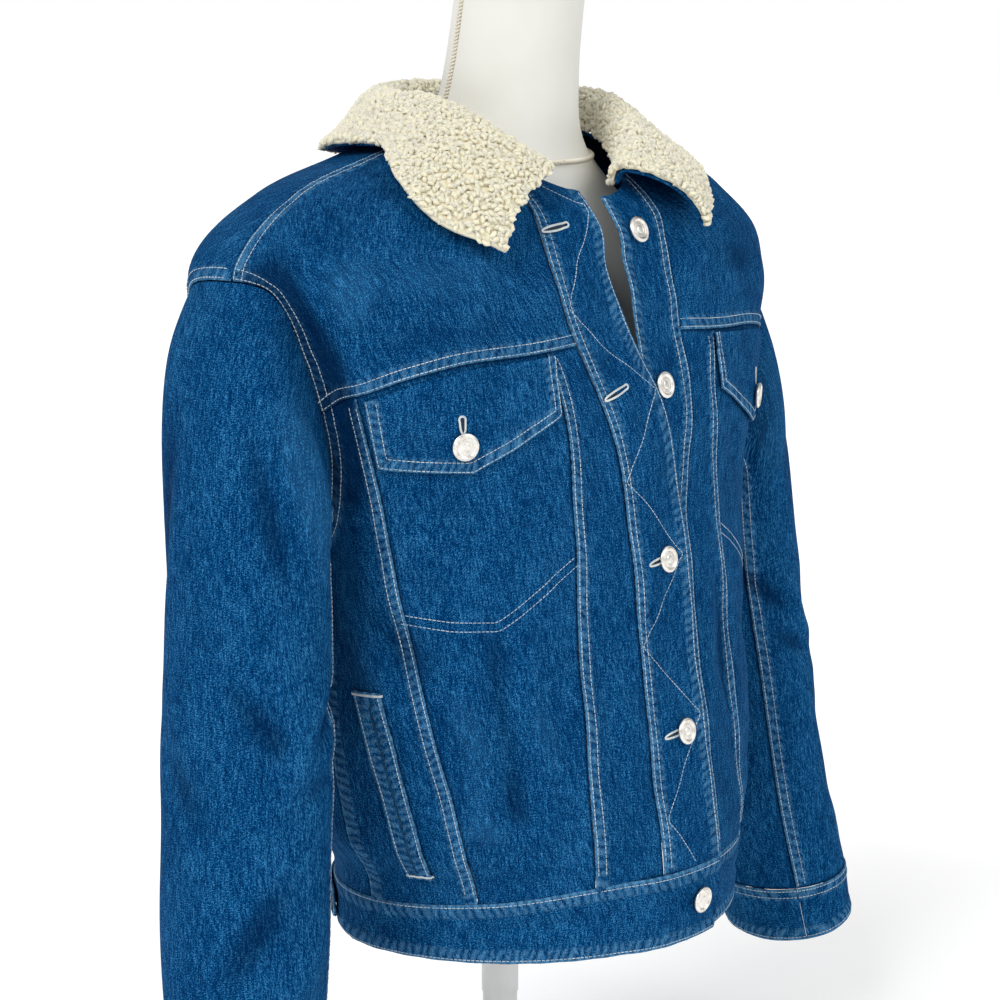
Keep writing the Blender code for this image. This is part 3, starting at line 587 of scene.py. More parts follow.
def cloth_piece(name, node, plain, raised, normals, seams, wall, flip, base=0.0):
    """Cloth on a grid of points: plain is the seam-free shape, and raised is what the folds make of it.

    The fold value is how far a fold stands out past the base height: minus in a hollow, plus on a
    ridge, and the denim paints shade into the hollows and a light tone onto the ridges by it. The map is
    the length along each row from its middle and along each column from its foot.
    """
    away, along = nearest_seam(plain, seams)
    points = raised + normals * seam_rise(away, along)[..., None]
    across, upward = lengths_along(points, 1), lengths_along(points, 0)
    mesh = grid_mesh(name, points, flip)
    add_cloth_map(mesh, across - across[:, [across.shape[1] // 2]], upward)
    add_values(mesh, "seam_gap", np.abs(away))
    add_values(mesh, "seam_lap", (away >= 0) * 1.0)
    add_values(mesh, "seam_along", along)
    # How far a fold stands out, which the denim turns into painted shade in hollows and a light tone on
    # ridges.
    stands_out = ((raised - plain) * normals).sum(-1) - base
    add_values(mesh, "fold", np.clip(stands_out / FULL_FOLD_SHADE, -1, 1))
    made = add_wall(add_piece(name, mesh, FINISH["denim"]), wall)
    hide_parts(node)
    return made


# Patches between seam curves


def length_so_far(line):
    """The length of a line from its start to each of its points."""
    return np.concatenate([[0], np.cumsum(np.linalg.norm(np.diff(line, axis=0), axis=1))])


def chord_share(line):
    """How far along its length each point of a line is, from 0 to 1."""
    length = length_so_far(line)
    return length / length[-1]


def read_line(points, length, at):
    """The points of a line in space at these places along its length."""
    return np.stack([np.interp(at, length, points[:, i]) for i in range(3)], -1)


def shares_for(length, pitch=PITCH):
    """Places along a length: close together at both seams, even between them."""
    ends = np.array(EDGE_LINES) / length
    count = max(2, round((length - 2 * EDGE_LINES[-1]) / pitch))
    even = np.linspace(ends[-1], 1 - ends[-1], count + 1)
    return np.concatenate([ends[:-1], even, 1 - ends[:-1][::-1]])


def resample(line, solid, shares):
    """A line in turn and level read at shares of its length in space."""
    share = chord_share(solid)
    return np.stack([np.interp(shares, share, line[:, i]) for i in (0, 1)], -1)


def patch(bottom, top, left, right, surface):
    """Turn and level of a grid between four lines, blended as a Coons patch with even cells."""
    lines = [bottom, top, left, right]
    solid = [surface(line[:, 0], line[:, 1]) for line in lines]
    size = [np.linalg.norm(np.diff(points, axis=0), axis=1).sum() for points in solid]
    columns, rows = shares_for((size[0] + size[1]) / 2), shares_for((size[2] + size[3]) / 2)
    bottom, top = (resample(line, points, columns) for line, points in zip(lines[:2], solid[:2]))
    left, right = (resample(line, points, rows) for line, points in zip(lines[2:], solid[2:]))
    p, q = columns[None, :, None], rows[:, None, None]
    rails = (1 - q) * bottom[None] + q * top[None]
    posts = (1 - p) * left[:, None] + p * right[:, None]
    low = (1 - p) * bottom[0] + p * bottom[-1]
    high = (1 - p) * top[0] + p * top[-1]
    grid = rails + posts - (1 - q) * low - q * high
    return grid[..., 0], grid[..., 1]


def open_seams(points):
    """Draws the four edges of a grid in by half a seam's gap."""
    points = points.copy()
    half = SEAM_GAP / 2
    points[0] += unit(points[2] - points[0]) * half
    points[-1] += unit(points[-3] - points[-1]) * half
    points[:, 0] += unit(points[:, 2] - points[:, 0]) * half
    points[:, -1] += unit(points[:, -3] - points[:, -1]) * half
    return points


# Points along each seam line.
SEAM_POINTS = 160


def line(turns, levels, count=SEAM_POINTS):
    """A line of turn and level; a pair of numbers stands for even steps between them."""
    parts = [
        np.linspace(*part, count) if isinstance(part, tuple) else np.asarray(part, float)
        for part in (turns, levels)
    ]
    return np.stack(np.broadcast_arrays(*parts), -1)


def joined(*lines):
    return np.concatenate([part[:-1] for part in lines[:-1]] + [lines[-1]])


def mirrored(edge):
    """The same line on the other side of centre back."""
    return np.stack([4 - edge[:, 0], edge[:, 1]], -1)


def waist_level(turns):
    """The waist seam's level, the same on both sides of centre back and of centre front."""
    return np.where(turns > 2, read(WAIST_SEAM, 4 - turns), read(WAIST_SEAM, np.abs(turns)))


def waist_line(start, end):
    turns = np.linspace(start, end, SEAM_POINTS)
    return line(turns, waist_level(turns))


def yoke_line(start, end):
    turns = np.linspace(start, end, SEAM_POINTS)
    return line(turns, read(FRONT_YOKE, turns))


def arm_line(start, end):
    return np.stack(armhole(np.linspace(start, end, SEAM_POINTS)), -1)


def meet_yoke(turn_of):
    """The level at which a seam that climbs the front meets the yoke seam."""
    level = 0.68
    for _ in range(12):
        level = float(read(FRONT_YOKE, turn_of(level)))
    return level


def climb(turn_of, low, high):
    levels = np.linspace(low, high, SEAM_POINTS)
    return line(turn_of(levels), levels)


def front_lines(side):
    """The seam lines of one front, from centre front to the side."""
    makers = {
        "placket": lambda level: placket_seam(level, side),
        "inner": lambda level: read(INNER_V, level),
        "outer": lambda level: read(OUTER_V, level),
    }
    lines = {}
    for name, turn_of in makers.items():
        lines[name] = climb(turn_of, float(read(WAIST_SEAM, turn_of(0.08))), meet_yoke(turn_of))
    top = lines["placket"][-1, 1]
    lines["placket_upper"] = climb(makers["placket"], top, 1.0)
    lines["side"] = line(1.0, (float(read(WAIST_SEAM, 1.0)), ARM_LOW))
    lines["yoke_inner"] = yoke_line(lines["placket"][-1, 0], lines["inner"][-1, 0])
    lines["yoke_middle"] = yoke_line(lines["inner"][-1, 0], lines["outer"][-1, 0])
    lines["yoke_side"] = yoke_line(lines["outer"][-1, 0], float(armhole(FRONT_YOKE_ANGLE)[0]))
    lines["shoulder"] = line(1.0, (ARM_HIGH, 1.0))
    return lines


def front_yoke_seam(seams):
    """The whole yoke seam of one front, from its placket to its armhole."""
    return joined(seams["yoke_inner"], seams["yoke_middle"], seams["yoke_side"])


def back_lines():
    """The seam lines of the back on one side."""
    waist = float(read(WAIST_SEAM, 1.5))
    end = arm_line(-180, BACK_YOKE_ANGLE)[-1]
    v_top = float(read(BACK_V, end[1]))
    share = np.linspace(0, 1, 80)
    yoke_side = line(end[0] + (v_top - end[0]) * share, end[1] + 0.012 * share**2)
    high = yoke_side[-1, 1]
    levels = np.linspace(waist, high, SEAM_POINTS)
    drift = (yoke_side[-1, 0] - read(BACK_V, high)) * np.linspace(0, 1, SEAM_POINTS)
    return {
        "yoke_side": yoke_side,
        "v": line(read(BACK_V, levels) + drift, levels),
        "centre_top": line((yoke_side[-1, 0], 4 - yoke_side[-1, 0]), high),
    }


def body_seam(seam, side, lap):
    """A seam on the body; lap says which side of its direction is the raised one."""
    turn, level = seam[:, 0], seam[:, 1]
    return seam_line(*body_frame(turn, level, side), lap)


def beside(row, distance, slopes):
    """A row moved sideways on its surface by this distance, solved from the surface's two slopes."""
    turn, level = row[:, 0], row[:, 1]
    along_turn, along_level = slopes(turn, level)
    step = np.gradient(row, axis=0)
    way = unit(step[:, :1] * along_turn + step[:, 1:] * along_level)
    target = np.cross(unit(np.cross(along_turn, along_level)), way) * distance
    a, b, c = ((p * q).sum(-1) for p, q in (
        (along_turn, along_turn), (along_turn, along_level), (along_level, along_level)
    ))
    d, e = (target * along_turn).sum(-1), (target * along_level).sum(-1)
    share = a * c - b * b
    return np.stack([turn + (c * d - b * e) / share, level + (a * e - b * d) / share], -1)


# Stitches


def stitch_shape():
    """A stitch as a five-sided spindle: two rings between two points, length along x."""
    ring = np.arange(5) * math.pi * 2 / 5
    circle = np.stack([np.zeros(5), np.cos(ring), np.sin(ring)], -1)
    low, high = circle * (1, 0.5, 0.5) - (0.36, 0, 0), circle * (1, 0.5, 0.5) + (0.36, 0, 0)
    points = np.concatenate([[(-0.5, 0, -0.2)], low, high, [(0.5, 0, -0.2)]])
    faces = []
    for i in range(5):
        j = (i + 1) % 5
        faces += [(0, 1 + j, 1 + i), (1 + i, 1 + j, 6 + j), (1 + i, 6 + j, 6 + i), (11, 6 + i, 6 + j)]
    return points, np.array(faces)


STITCH_POINTS, STITCH_FACES = stitch_shape()


def sewn(points, normals, pitch=STITCH_PITCH):
    """Even places along a row: middle, way along, way out and length of each stitch."""
    length = length_so_far(points)
    count = max(1, int(length[-1] / pitch))
    cuts = np.linspace(0, length[-1], count + 1)
    ends = read_line(points, length, cuts)
    out = unit(read_line(normals, length, (cuts[1:] + cuts[:-1]) / 2))
    step = ends[1:] - ends[:-1]
    size = np.linalg.norm(step, axis=-1)
    return (ends[1:] + ends[:-1]) / 2, unit(step), out, size * (STITCH_LENGTH / STITCH_PITCH)


def stitch_mesh(name, sets):
    """Every stitch of several rows in one mesh: the spindle scaled and turned to its place."""
    middle, way, out, size = (np.concatenate(parts) for parts in zip(*sets))
    third = unit(np.cross(out, way))
    x, y, z = (STITCH_POINTS[None, :, i, None] for i in range(3))
    points = (
        middle[:, None] + way[:, None] * x * size[:, None, None]
        + third[:, None] * y * THREAD * 2.3 + out[:, None] * (z * THREAD * 2.0 + THREAD * 0.25)
    )
    count = len(STITCH_POINTS)
    faces = STITCH_FACES[None] + np.arange(len(size))[:, None, None] * count
    return mesh_of(name, points.reshape(-1, 3), faces.reshape(-1, 3))


# The body's cloth

SIDES = (("right", -1), ("left", 1))
BODY_SEAMS = {}
ROWS_SEWN = {"right": [], "left": [], "back": [], "sleeve_right": [], "sleeve_left": []}
TACKS = []
LAID_OUT = LAY_CLEARANCE + DENIM


def collect_seams():
    """Every raised seam of the body, for each side: the yoke over the panels, the sides over the V's."""
    back = back_lines()
    for _, side in SIDES:
        seams = front_lines(side)
        BODY_SEAMS[side] = [
            body_seam(seam, side, lap * side)
            for seam, lap in (
                (front_yoke_seam(seams), 1), (seams["inner"], 1), (seams["outer"], -1),
                (seams["shoulder"], 1), (arm_line(180, -180), 1), (seams["side"], 1),
                (seams["placket"], 1), (seams["placket_upper"], 1), (back["v"], -1),
                (joined(back["yoke_side"], back["centre_top"]), 1),
            )
        ]


def on_body(row, side, out=0.0, seams=None):
    """Points and normals of the finished cloth under a row of turn and level."""
    turn, level = row[..., 0], row[..., 1]
    plain, normal = body_frame(turn, level, side)
    away, along = nearest_seam(plain, BODY_SEAMS[side] if seams is None else seams)
    height = folds(turn, level, side) + seam_rise(away, along) + out
    return plain + normal * height[..., None], normal


def body_slopes_of(side):
    return lambda turn, level: body_slopes(turn, level, side)


def sew(group, row, side, out=0.0, seams=None, trim=0):
    """A row of stitches on the body."""
    if trim:
        row = row[trim:-trim]
    ROWS_SEWN[group].append(sewn(*on_body(row, side, out, seams)))


def sew_beside(group, seam, side, distances, sign, trim=3):
    for distance in distances:
        sew(group, beside(seam, sign * distance, body_slopes_of(side)), side, trim=trim)


def even_rows(turn, level, side):
    """Rows spread evenly in height away from a patch's sides.

    An armhole's flat top bunches the rows at a yoke's sides, and the patch would carry that inwards.
    """
    share = chord_share(body(turn[:, 0], level[:, 0], side))[:, None]
    column = np.linspace(0, 1, turn.shape[1])
    inward = smooth_step(np.minimum(column, 1 - column) / 0.20)
    even = level[0] + (level[-1] - level[0]) * share
    return level * (1 - inward) + even * inward


def body_panel(name, edges, side):
    """A panel of the body between its foot, top and two side lines."""
    turn, level = patch(*edges, lambda t, v: body(t, v, side))
    if "yoke" in name:
        level = even_rows(turn, level, side)
    if level[0].max() < 0.12:
        level[0] -= TUCK
    plain = open_seams(body(turn, level, side))
    normals = body_normal(turn, level, side)
    raised = plain + normals * folds(turn, level, side)[..., None]
    seams = BODY_SEAMS[-1] + BODY_SEAMS[1] if turn.max() > 2.0 else BODY_SEAMS[side]
    cloth_piece(
        f"{name}_cloth", name, plain, raised, normals, seams, DENIM, side < 0
    )


def make_front(label, side):
    """One front: three panels, the yoke over them, their stitches, the placket and the pocket's foot."""
    seams = front_lines(side)
    feet = [seams[name][0, 0] for name in ("placket", "inner", "outer", "side")]
    yoke = front_yoke_seam(seams)
    tops = (
        seams["yoke_inner"], seams["yoke_middle"],
        joined(seams["yoke_side"], arm_line(FRONT_YOKE_ANGLE, 180)),
    )
    names = ("front_inner", "front_pocket_panel", "front_side")
    borders = [seams[name] for name in ("placket", "inner", "outer", "side")]
    for i, name in enumerate(names):
        edges = (waist_line(feet[i], feet[i + 1]), tops[i], borders[i], borders[i + 1])
        body_panel(f"{name}_{label}", edges, side)
    outer_edge = joined(arm_line(FRONT_YOKE_ANGLE, 0), seams["shoulder"])
    neckline = line((seams["placket_upper"][-1, 0], 1.0), 1.0)
    body_panel(f"front_yoke_{label}", (yoke, neckline, seams["placket_upper"], outer_edge), side)

    for seam, distances, sign, trim in (
        (yoke, ROWS, 1, 3), (seams["outer"], ROWS, -1, 3), (seams["inner"], ROWS, 1, 3),
        (arm_line(178, 1), ROWS, 1, 3), (seams["shoulder"], ROWS, 1, 1),
        (seams["placket"], ROWS[:1], 1, 3), (seams["placket_upper"], ROWS[:1], 1, 3),
    ):
        sew_beside(label, seam, side, distances, sign, trim)
    make_placket(label, side, seams)
    foot_row = np.array(POCKET_FOOT)
    turns = np.linspace(foot_row[0, 0], foot_row[-1, 0], 120)
    pocket = line(turns, np.interp(turns, foot_row[:, 0], foot_row[:, 1]))
    sew(label, pocket, side)
    sew(label, beside(pocket, -POCKET_ROW_GAP, body_slopes_of(side)), side)


def placket_lift(share, side):
    """The right front rises over the left one just past its seam."""
    return RIGHT_FRONT_LIFT * smooth_step(share / 0.28) if side < 0 else 0.0 * share


def placket_row(share, side, low=0.0, high=1.0, count=400):
    """A line down the placket at this share of the way from its seam to its edge."""
    levels = np.linspace(low, high, count)
    seam, edge = placket_seam(levels, side), placket_edge(levels, side)
    return line(seam + (edge - seam) * share, levels)


def make_placket(label, side, seams):
    """The buttoned strip: rows at even lengths, columns from its seam to its edge."""
    low = seams["placket"][0, 1]
    middle = placket_row(0.5, side, low)
    rows = np.interp(shares_for(0.50), chord_share(body(middle[:, 0], middle[:, 1], side)), middle[:, 1])
    shares = shares_for(0.058 if side < 0 else 0.052, 0.003)
    seam, edge = placket_seam(rows, side), placket_edge(rows, side)
    turn = seam[:, None] + (edge - seam)[:, None] * shares
    level = np.repeat(rows[:, None], len(shares), axis=1)
    level[0] -= TUCK
    normals = body_normal(turn, level, side)
    lift = np.broadcast_to(placket_lift(shares, side), turn.shape)
    plain = open_seams(body(turn, level, side))
    edge_line = placket_row(1.0, side, low, count=300)
    own = [body_seam(edge_line, side, -side), body_seam(placket_row(0.0, side, low), side, side)]
    raised = plain + normals * (lift + folds(turn, level, side))[..., None]
    cloth_piece(
        f"placket_{label}_cloth", f"placket_{label}", plain, raised, normals, own, DENIM, side > 0,
        base=lift,
    )
    width = PLACKET_INNER + (OVERLAP if side < 0 else UNDERLAP)
    for share in (1 - PLACKET_EDGE_ROW / width, 0.10 if side < 0 else 0.14):
        row = placket_row(share, side, low + 0.004, 0.995)
        sew(label, row, side, float(placket_lift(share, side)), own)
    if side < 0:
        make_zigzag(own)


# Where the zigzag row turns: share of the way from the placket's seam to its edge, and level.
ZIGZAG = (
    (0.30, 0.985), (0.92, 0.965), (0.88, 0.945), (0.06, 0.765), (0.50, 0.697), (0.94, 0.637),
    (0.04, 0.531), (0.90, 0.440), (0.03, 0.349), (0.92, 0.258), (0.12, 0.138), (0.50, 0.092),
)


def make_zigzag(own):
    """One row that crosses the placket from side to side between the buttons."""
    share, level = np.array(ZIGZAG).T
    steps = np.linspace(0, len(share) - 1, 900)
    share, level = (np.interp(steps, np.arange(len(share)), part) for part in (share, level))
    seam, edge = placket_seam(level, -1), placket_edge(level, -1)
    row = line(seam + (edge - seam) * share, level)
    sew("right", row, -1, placket_lift(share, -1), own)


def make_back():
    """The two back sides, the centre between the V seams, and the yoke, with their stitches."""
    lines = back_lines()
    v, centre_top = lines["v"], lines["centre_top"]
    side_top = joined(arm_line(-180, BACK_YOKE_ANGLE), lines["yoke_side"])
    side_seam = line(1.0, (float(read(WAIST_SEAM, 1.0)), ARM_LOW))
    half_top = centre_top[: SEAM_POINTS // 2 + 1]
    for label, side in SIDES:
        body_panel(f"back_side_{label}", (waist_line(1.0, v[0, 0]), side_top, side_seam, v), side)
        sew_beside("back", v, side, ROWS, -1)
        sew_beside("back", joined(lines["yoke_side"], half_top), side, ROWS, 1)
        sew_beside("back", arm_line(-1, -178), side, ROWS, 1)
    body_panel("back_centre", (waist_line(v[0, 0], 4 - v[0, 0]), centre_top, v, mirrored(v)), -1)
    yoke = joined(lines["yoke_side"], centre_top, mirrored(lines["yoke_side"])[::-1])
    shoulder = joined(arm_line(BACK_YOKE_ANGLE, 0), line(1.0, (ARM_HIGH, 1.0)))
    body_panel("back_yoke", (yoke, line((1.0, 3.0), 1.0), shoulder, mirrored(shoulder)), -1)


def band_lift(turn):
    """The waistband's right end rises over its left end."""
    return (RIGHT_FRONT_LIFT + 0.0006) * smooth_step((0.30 - turn) / 0.16)


def band_folds(turn, share):
    """A band that rolls: full above and below a soft crease, with slow waves along it."""
    crease = -0.0024 * np.exp(-(((share - 0.55 - 0.06 * np.sin(5 * turn)) / 0.10) ** 2))
    full = 0.0012 * np.sin(np.pi * np.clip(share, 0, 1))
    waves = 0.0007 * np.sin(8.5 * turn + 2 * share) * np.sin(3.1 * turn)
    return (crease * (0.6 + 0.4 * np.sin(4.2 * turn)) + full + waves) * smooth_step(share / 0.2 + 0.3)


def band_row(share, start, end, count=900):
    turns = np.linspace(start, end, count)
    return line(turns, waist_level(turns) * share), share * np.ones(count)


def make_waistband():
    """One band from the right front's end, round the back, to the left front's end under it."""
    start = float(turn_at(-OVERLAP, 0.05))
    end = 4.0 - float(turn_at(-UNDERLAP, 0.05))
    columns, rows = shares_for(1.06, 0.0045), shares_for(0.050, 0.003)
    turns = start + (end - start) * columns
    level, turn = waist_level(turns) * rows[:, None], np.broadcast_to(turns, (len(rows), len(turns)))
    normals = body_normal(turn, level, -1)
    plain = open_seams(body(turn, level, -1))
    height = band_lift(turn) + band_folds(turn, rows[:, None])
    top_line, foot_line = band_row(1.0, start, end)[0], band_row(0.0, start, end)[0]
    own = [body_seam(top_line, -1, 1), body_seam(foot_line, -1, -1)]
    cloth_piece(
        "waistband_cloth", "waistband", plain, plain + normals * height[..., None], normals, own,
        WAISTBAND_WALL, True,
        base=band_lift(turn),
    )
    for share in (0.95, 0.05):
        row, part = band_row(share, start + 0.01, end - 0.01)
        turn, level = row[:, 0], row[:, 1]
        plain, normal = body_frame(turn, level, -1)
        rise = seam_rise(*nearest_seam(plain, own))
        height = band_lift(turn) + band_folds(turn, part) + rise
        ROWS_SEWN["back"].append(sewn(plain + normal * height[:, None], normal))


# Pieces that lie on the cloth


def inset(corners, distance, scale):
    """The corners of an open outline moved to its left by a distance, where its moved sides meet."""
    points = np.array(corners) * scale
    way = unit(np.diff(points, axis=0))
    left = np.stack([-way[:, 1], way[:, 0]], -1) * distance
    starts = points[:-1] + left
    moved = [starts[0]]
    for i in range(len(way) - 1):
        cross = way[i, 0] * way[i + 1, 1] - way[i, 1] * way[i + 1, 0]
        gap = starts[i + 1] - starts[i]
        along = (gap[0] * way[i + 1, 1] - gap[1] * way[i + 1, 0]) / cross
        moved.append(starts[i] + way[i] * along)
    moved.append(points[-1] + left[-1])
    return np.array(moved) / scale


def dense(corners, count=80):
    """A line through corners with many even steps on each straight part."""
    steps = np.linspace(0, len(corners) - 1, count * (len(corners) - 1) + 1)
    columns = np.array(corners).T
    return np.stack([np.interp(steps, np.arange(len(corners)), column) for column in columns], -1)


def scale_at(turn, level, side=1):
    around, upward = body_slopes(np.array(turn), np.array(level), side)
    return np.array([np.linalg.norm(around), np.linalg.norm(upward)])


def laid_cloth(node, turn, level, side, outline):
    """Cloth that lies on a panel: the same surface moved out, thicker where its edges are turned in."""
    plain, normals = body_frame(turn, level, side)
    height = folds(turn, level, side) + LAID_OUT
    away = nearest_seam(plain, BODY_SEAMS[side])
    own = [body_seam(outline, side, side)]
    raised = plain + normals * (height + np.maximum(seam_rise(*away), 0))[..., None]
    return cloth_piece(
        f"{node}_cloth", node, plain, raised, normals, own, DENIM, side < 0,
        base=LAID_OUT,
    ), own


def on_laid(row, side, own):
    turn, level = row[:, 0], row[:, 1]
    plain, normal = body_frame(turn, level, side)
    below = np.maximum(seam_rise(*nearest_seam(plain, BODY_SEAMS[side])), 0)
    rise = seam_rise(*nearest_seam(plain, own)) + below
    height = folds(turn, level, side) + LAID_OUT + rise
    return plain + normal * height[:, None], normal


def make_flap(label, side):
    """A pointed pocket flap hung from the yoke seam: columns of turn from its foot up to the seam."""
    start, point, end = FLAP_TURNS
    columns = shares_for(0.118, 0.003)
    shares = np.unique(np.concatenate([columns, [(point - start) / (end - start)]]))
    turns = start + (end - start) * shares
    top = read(FRONT_YOKE, turns) - 0.006
    rows = shares_for(0.055, 0.003)[:, None]
    low = np.interp(turns, FLAP_TURNS, FLAP_FOOT)
    level = low + (top - low) * rows
    corners = [
        (start, float(read(FRONT_YOKE, start)) - 0.006), (start, FLAP_FOOT[0]), (point, FLAP_FOOT[1]),
        (end, FLAP_FOOT[2]), (end, float(read(FRONT_YOKE, end)) - 0.006),
    ]
    turn = np.broadcast_to(turns, level.shape)
    _, own = laid_cloth(
        f"pocket_flap_{label}", turn, level, side, dense(corners)
    )
    scale = scale_at(point, 0.63)
    for distance in ROWS:
        ROWS_SEWN[label].append(sewn(*on_laid(dense(inset(corners, distance, scale)), side, own)))
    hole_level = FLAP_BUTTON[1] + 0.022
    buttonhole(FLAP_BUTTON[0], hole_level, 0.0, 0.012, lambda row: on_laid(row, side, own))


def make_welt(label, side):
    """The slanted welt of the hand pocket, with a bar tack across each end."""
    rows, columns = shares_for(0.130, 0.003), shares_for(0.020, 0.002)
    (foot_turn, head_turn), (foot, head) = WELT_INNER_TURNS, WELT_LEVELS
    turn = (foot_turn + (head_turn - foot_turn) * rows)[:, None] + WELT_WIDTH * columns
    level = np.broadcast_to((foot + (head - foot) * rows)[:, None], turn.shape)
    corners = [
        (head_turn, head), (foot_turn, foot), (foot_turn + WELT_WIDTH, foot),
        (head_turn + WELT_WIDTH, head), (head_turn, head),
    ]
    _, own = laid_cloth(
        f"pocket_welt_{label}", turn, level, side, dense(corners),
    )
    scale = scale_at(0.85, 0.21)
    for part in (corners[:2], corners[2:4]):
        row = dense(inset(part, WELT_ROW, scale))
        ROWS_SEWN[label].append(sewn(*on_laid(row, side, own)))
    for a, b, drop in ((corners[0], corners[3], -0.004), (corners[1], corners[2], 0.004)):
        ends = [(a[0] - 0.004, a[1] + drop), (b[0] + 0.002, b[1] + drop)]
        bar_tack(dense(ends), lambda row: on_laid(row, side, own))


def make_waist_tab(label, side):
    """The adjuster tab, whose free end is narrowed to a point's start."""
    columns, rows = shares_for(0.125, 0.003), shares_for(0.025, 0.002)
    (start, end), (foot, head) = TAB_TURNS, TAB_LEVELS
    turns = start + (end - start) * columns
    narrow = TAB_NARROWING * (1 - smooth_step((turns - start) / 0.05))
    low, high = foot + narrow, head - narrow
    level = low + (high - low) * rows[:, None]
    turn = np.broadcast_to(turns, level.shape)
    corners = [
        (end, head), (start + 0.03, head), (start, head - TAB_NARROWING), (start, foot + TAB_NARROWING),
        (start + 0.03, foot), (end, foot),
    ]
    outline = dense(corners, 40)
    own = [body_seam(outline, side, side)]
    plain, normals = body_frame(turn, level, side)
    raised = plain + normals * (LAID_OUT + TAB_LIFT)
    cloth_piece(
        f"waist_tab_{label}_cloth", f"waist_tab_{label}", plain, raised, normals, own, DENIM, side < 0,
    )
    row = dense(inset(corners, TAB_ROW, scale_at(1.4, 0.03)), 40)
    plain, normal = body_frame(row[:, 0], row[:, 1], side)
    rise = seam_rise(*nearest_seam(plain, own)) + LAID_OUT + TAB_LIFT
    ROWS_SEWN["back"].append(sewn(plain + normal * rise[:, None], normal))


# Tacks and buttonholes


SATIN_PITCH = 0.00042
TACK_WIDTH, HOLE_SATIN_WIDTH = 0.0019, 0.0017


def satin(points, normals, length):
    """Stitches laid side by side across a line: each one lies square to it."""
    middle, way, out, _ = sewn(points, normals, SATIN_PITCH)
    return middle, unit(np.cross(out, way)), out, np.full(len(middle), length)


def bar_tack(row, surface):
    TACKS.append(satin(*surface(row), TACK_WIDTH))


# Outlines of the buttonholes' slots, filled later with sheets of painted shadow.
HOLES = []


def buttonhole(turn, level, slope, length, surface, upright=True):
    """A keyhole buttonhole: satin round a slot whose end is a small eye.

    The outline's half width is 1.9 mm, and up to 1.7 mm more at the eye; the eye is at the end that
    the length's sign points to.
    """
    scale = scale_at(turn, level)
    share = np.linspace(0, 2 * math.pi, 160)
    along = np.cos(share) * length / 2
    eye = np.exp(-(((along - length / 2) / 0.0030) ** 2))
    wide = np.sin(share) * (0.0019 + 0.0017 * eye)
    x, y = (wide, along) if upright else (along, wide)
    x, y = x * math.cos(slope) - y * math.sin(slope), x * math.sin(slope) + y * math.cos(slope)
    row = np.stack([turn + x / scale[0], level + y / scale[1]], -1)
    points, normals = surface(row)
    TACKS.append(satin(points + normals * 0.0002, normals, HOLE_SATIN_WIDTH))
    HOLES.append(points + normals * 0.00025)


def make_placket_holes():
    """The right front's buttonholes, level with the buttons, their eyes towards the edge."""
    own = [body_seam(placket_row(1.0, -1, 0.088, count=300), -1, 1)]
    for level, (across, drop, slope) in zip(BUTTON_LEVELS, PLACKET_HOLES):
        turn = float(turn_at(lapel_shift(level, -1) + across, level))
        buttonhole(
            turn, level - drop, slope, -0.026, lambda row: on_body(row, -1, RIGHT_FRONT_LIFT, own), False
        )


# Sleeves


def sleeve_seams(side):
    """The seams of a sleeve: its two long seams, the cuff's and the hem, each raised on one side."""
    long_runs, round_it = (0.02, CUFF_RUN), (-180, 180)
    return [
        seam_line(*sleeve_frame(*line(degrees, runs, 260).T, side), lap)
        for degrees, runs, lap in (
            (float(SLEEVE_SEAM_FRONT), long_runs, side), (float(SLEEVE_SEAM_BACK), long_runs, side),
            (round_it, CUFF_RUN, side), (round_it, 1.0, -side),
        )
    ]


def on_sleeve(row, side, seams):
    degrees, run = row[..., 0], row[..., 1]
    plain, normal = sleeve_frame(degrees, run, side)
    height = sleeve_folds(degrees, run, side) + seam_rise(*nearest_seam(plain, seams))
    return plain + normal * height[..., None], normal


def make_sleeve(label, side):
    """Two long panels from the armhole to the cuff, and the cuff, closed at the front seam."""
    seams = sleeve_seams(side)
    cuff_start = SLEEVE_SEAM_FRONT + CUFF_GAP_DEGREES / 2
    cuff_end = cuff_start + 360 - CUFF_GAP_DEGREES
    for name, start, end, low, high, wide, long, wall in (
        ("top_sleeve", SLEEVE_SEAM_BACK, SLEEVE_SEAM_FRONT, SLEEVE_START, CUFF_RUN, 0.23, 0.52, DENIM),
        (
            "under_sleeve", SLEEVE_SEAM_FRONT, SLEEVE_SEAM_BACK + 360, SLEEVE_START, CUFF_RUN, 0.11, 0.46,
            DENIM,
        ),
        ("cuff", cuff_start, cuff_end, CUFF_RUN, 1.0, 0.32, 0.042, WAISTBAND_WALL),
    ):
        degrees = start + (end - start) * shares_for(wide)[None, :]
        rows = shares_for(long)[:, None]
        run = low + (high - low) * rows
        degrees, run = np.broadcast_arrays(degrees, run)
        plain, normals = open_seams(sleeve(degrees, run, side)), sleeve_normal(degrees, run, side)
        raised = plain + normals * sleeve_folds(degrees, run, side)[..., None]
        cloth_piece(
            f"{name}_{label}_cloth", f"{name}_{label}", plain, raised, normals, seams, wall, side < 0,
        )
    group = ROWS_SEWN[f"sleeve_{label}"]

    around = (SLEEVE_SEAM_FRONT + 0.6, SLEEVE_SEAM_FRONT + 359.4)
    long_runs = (0.04, CUFF_RUN - 0.004)
    for degrees, run, distances in (
        (around, CUFF_RUN, (0.0020, 0.0075)), (around, 1.0, (-0.0028,)),
        (float(SLEEVE_SEAM_FRONT), long_runs, ROWS), (float(SLEEVE_SEAM_BACK), long_runs, ROWS),
    ):
        for distance in distances:
            row = beside(line(degrees, run, 400), distance, lambda d, r: sleeve_slopes(d, r, side))
            group.append(sewn(*on_sleeve(row, side, seams)))


# Collar


def bezier(a, b, c, d, s):
    return a * (1 - s) ** 3 + 3 * b * s * (1 - s) ** 2 + 3 * c * s * s * (1 - s) + d * s**3


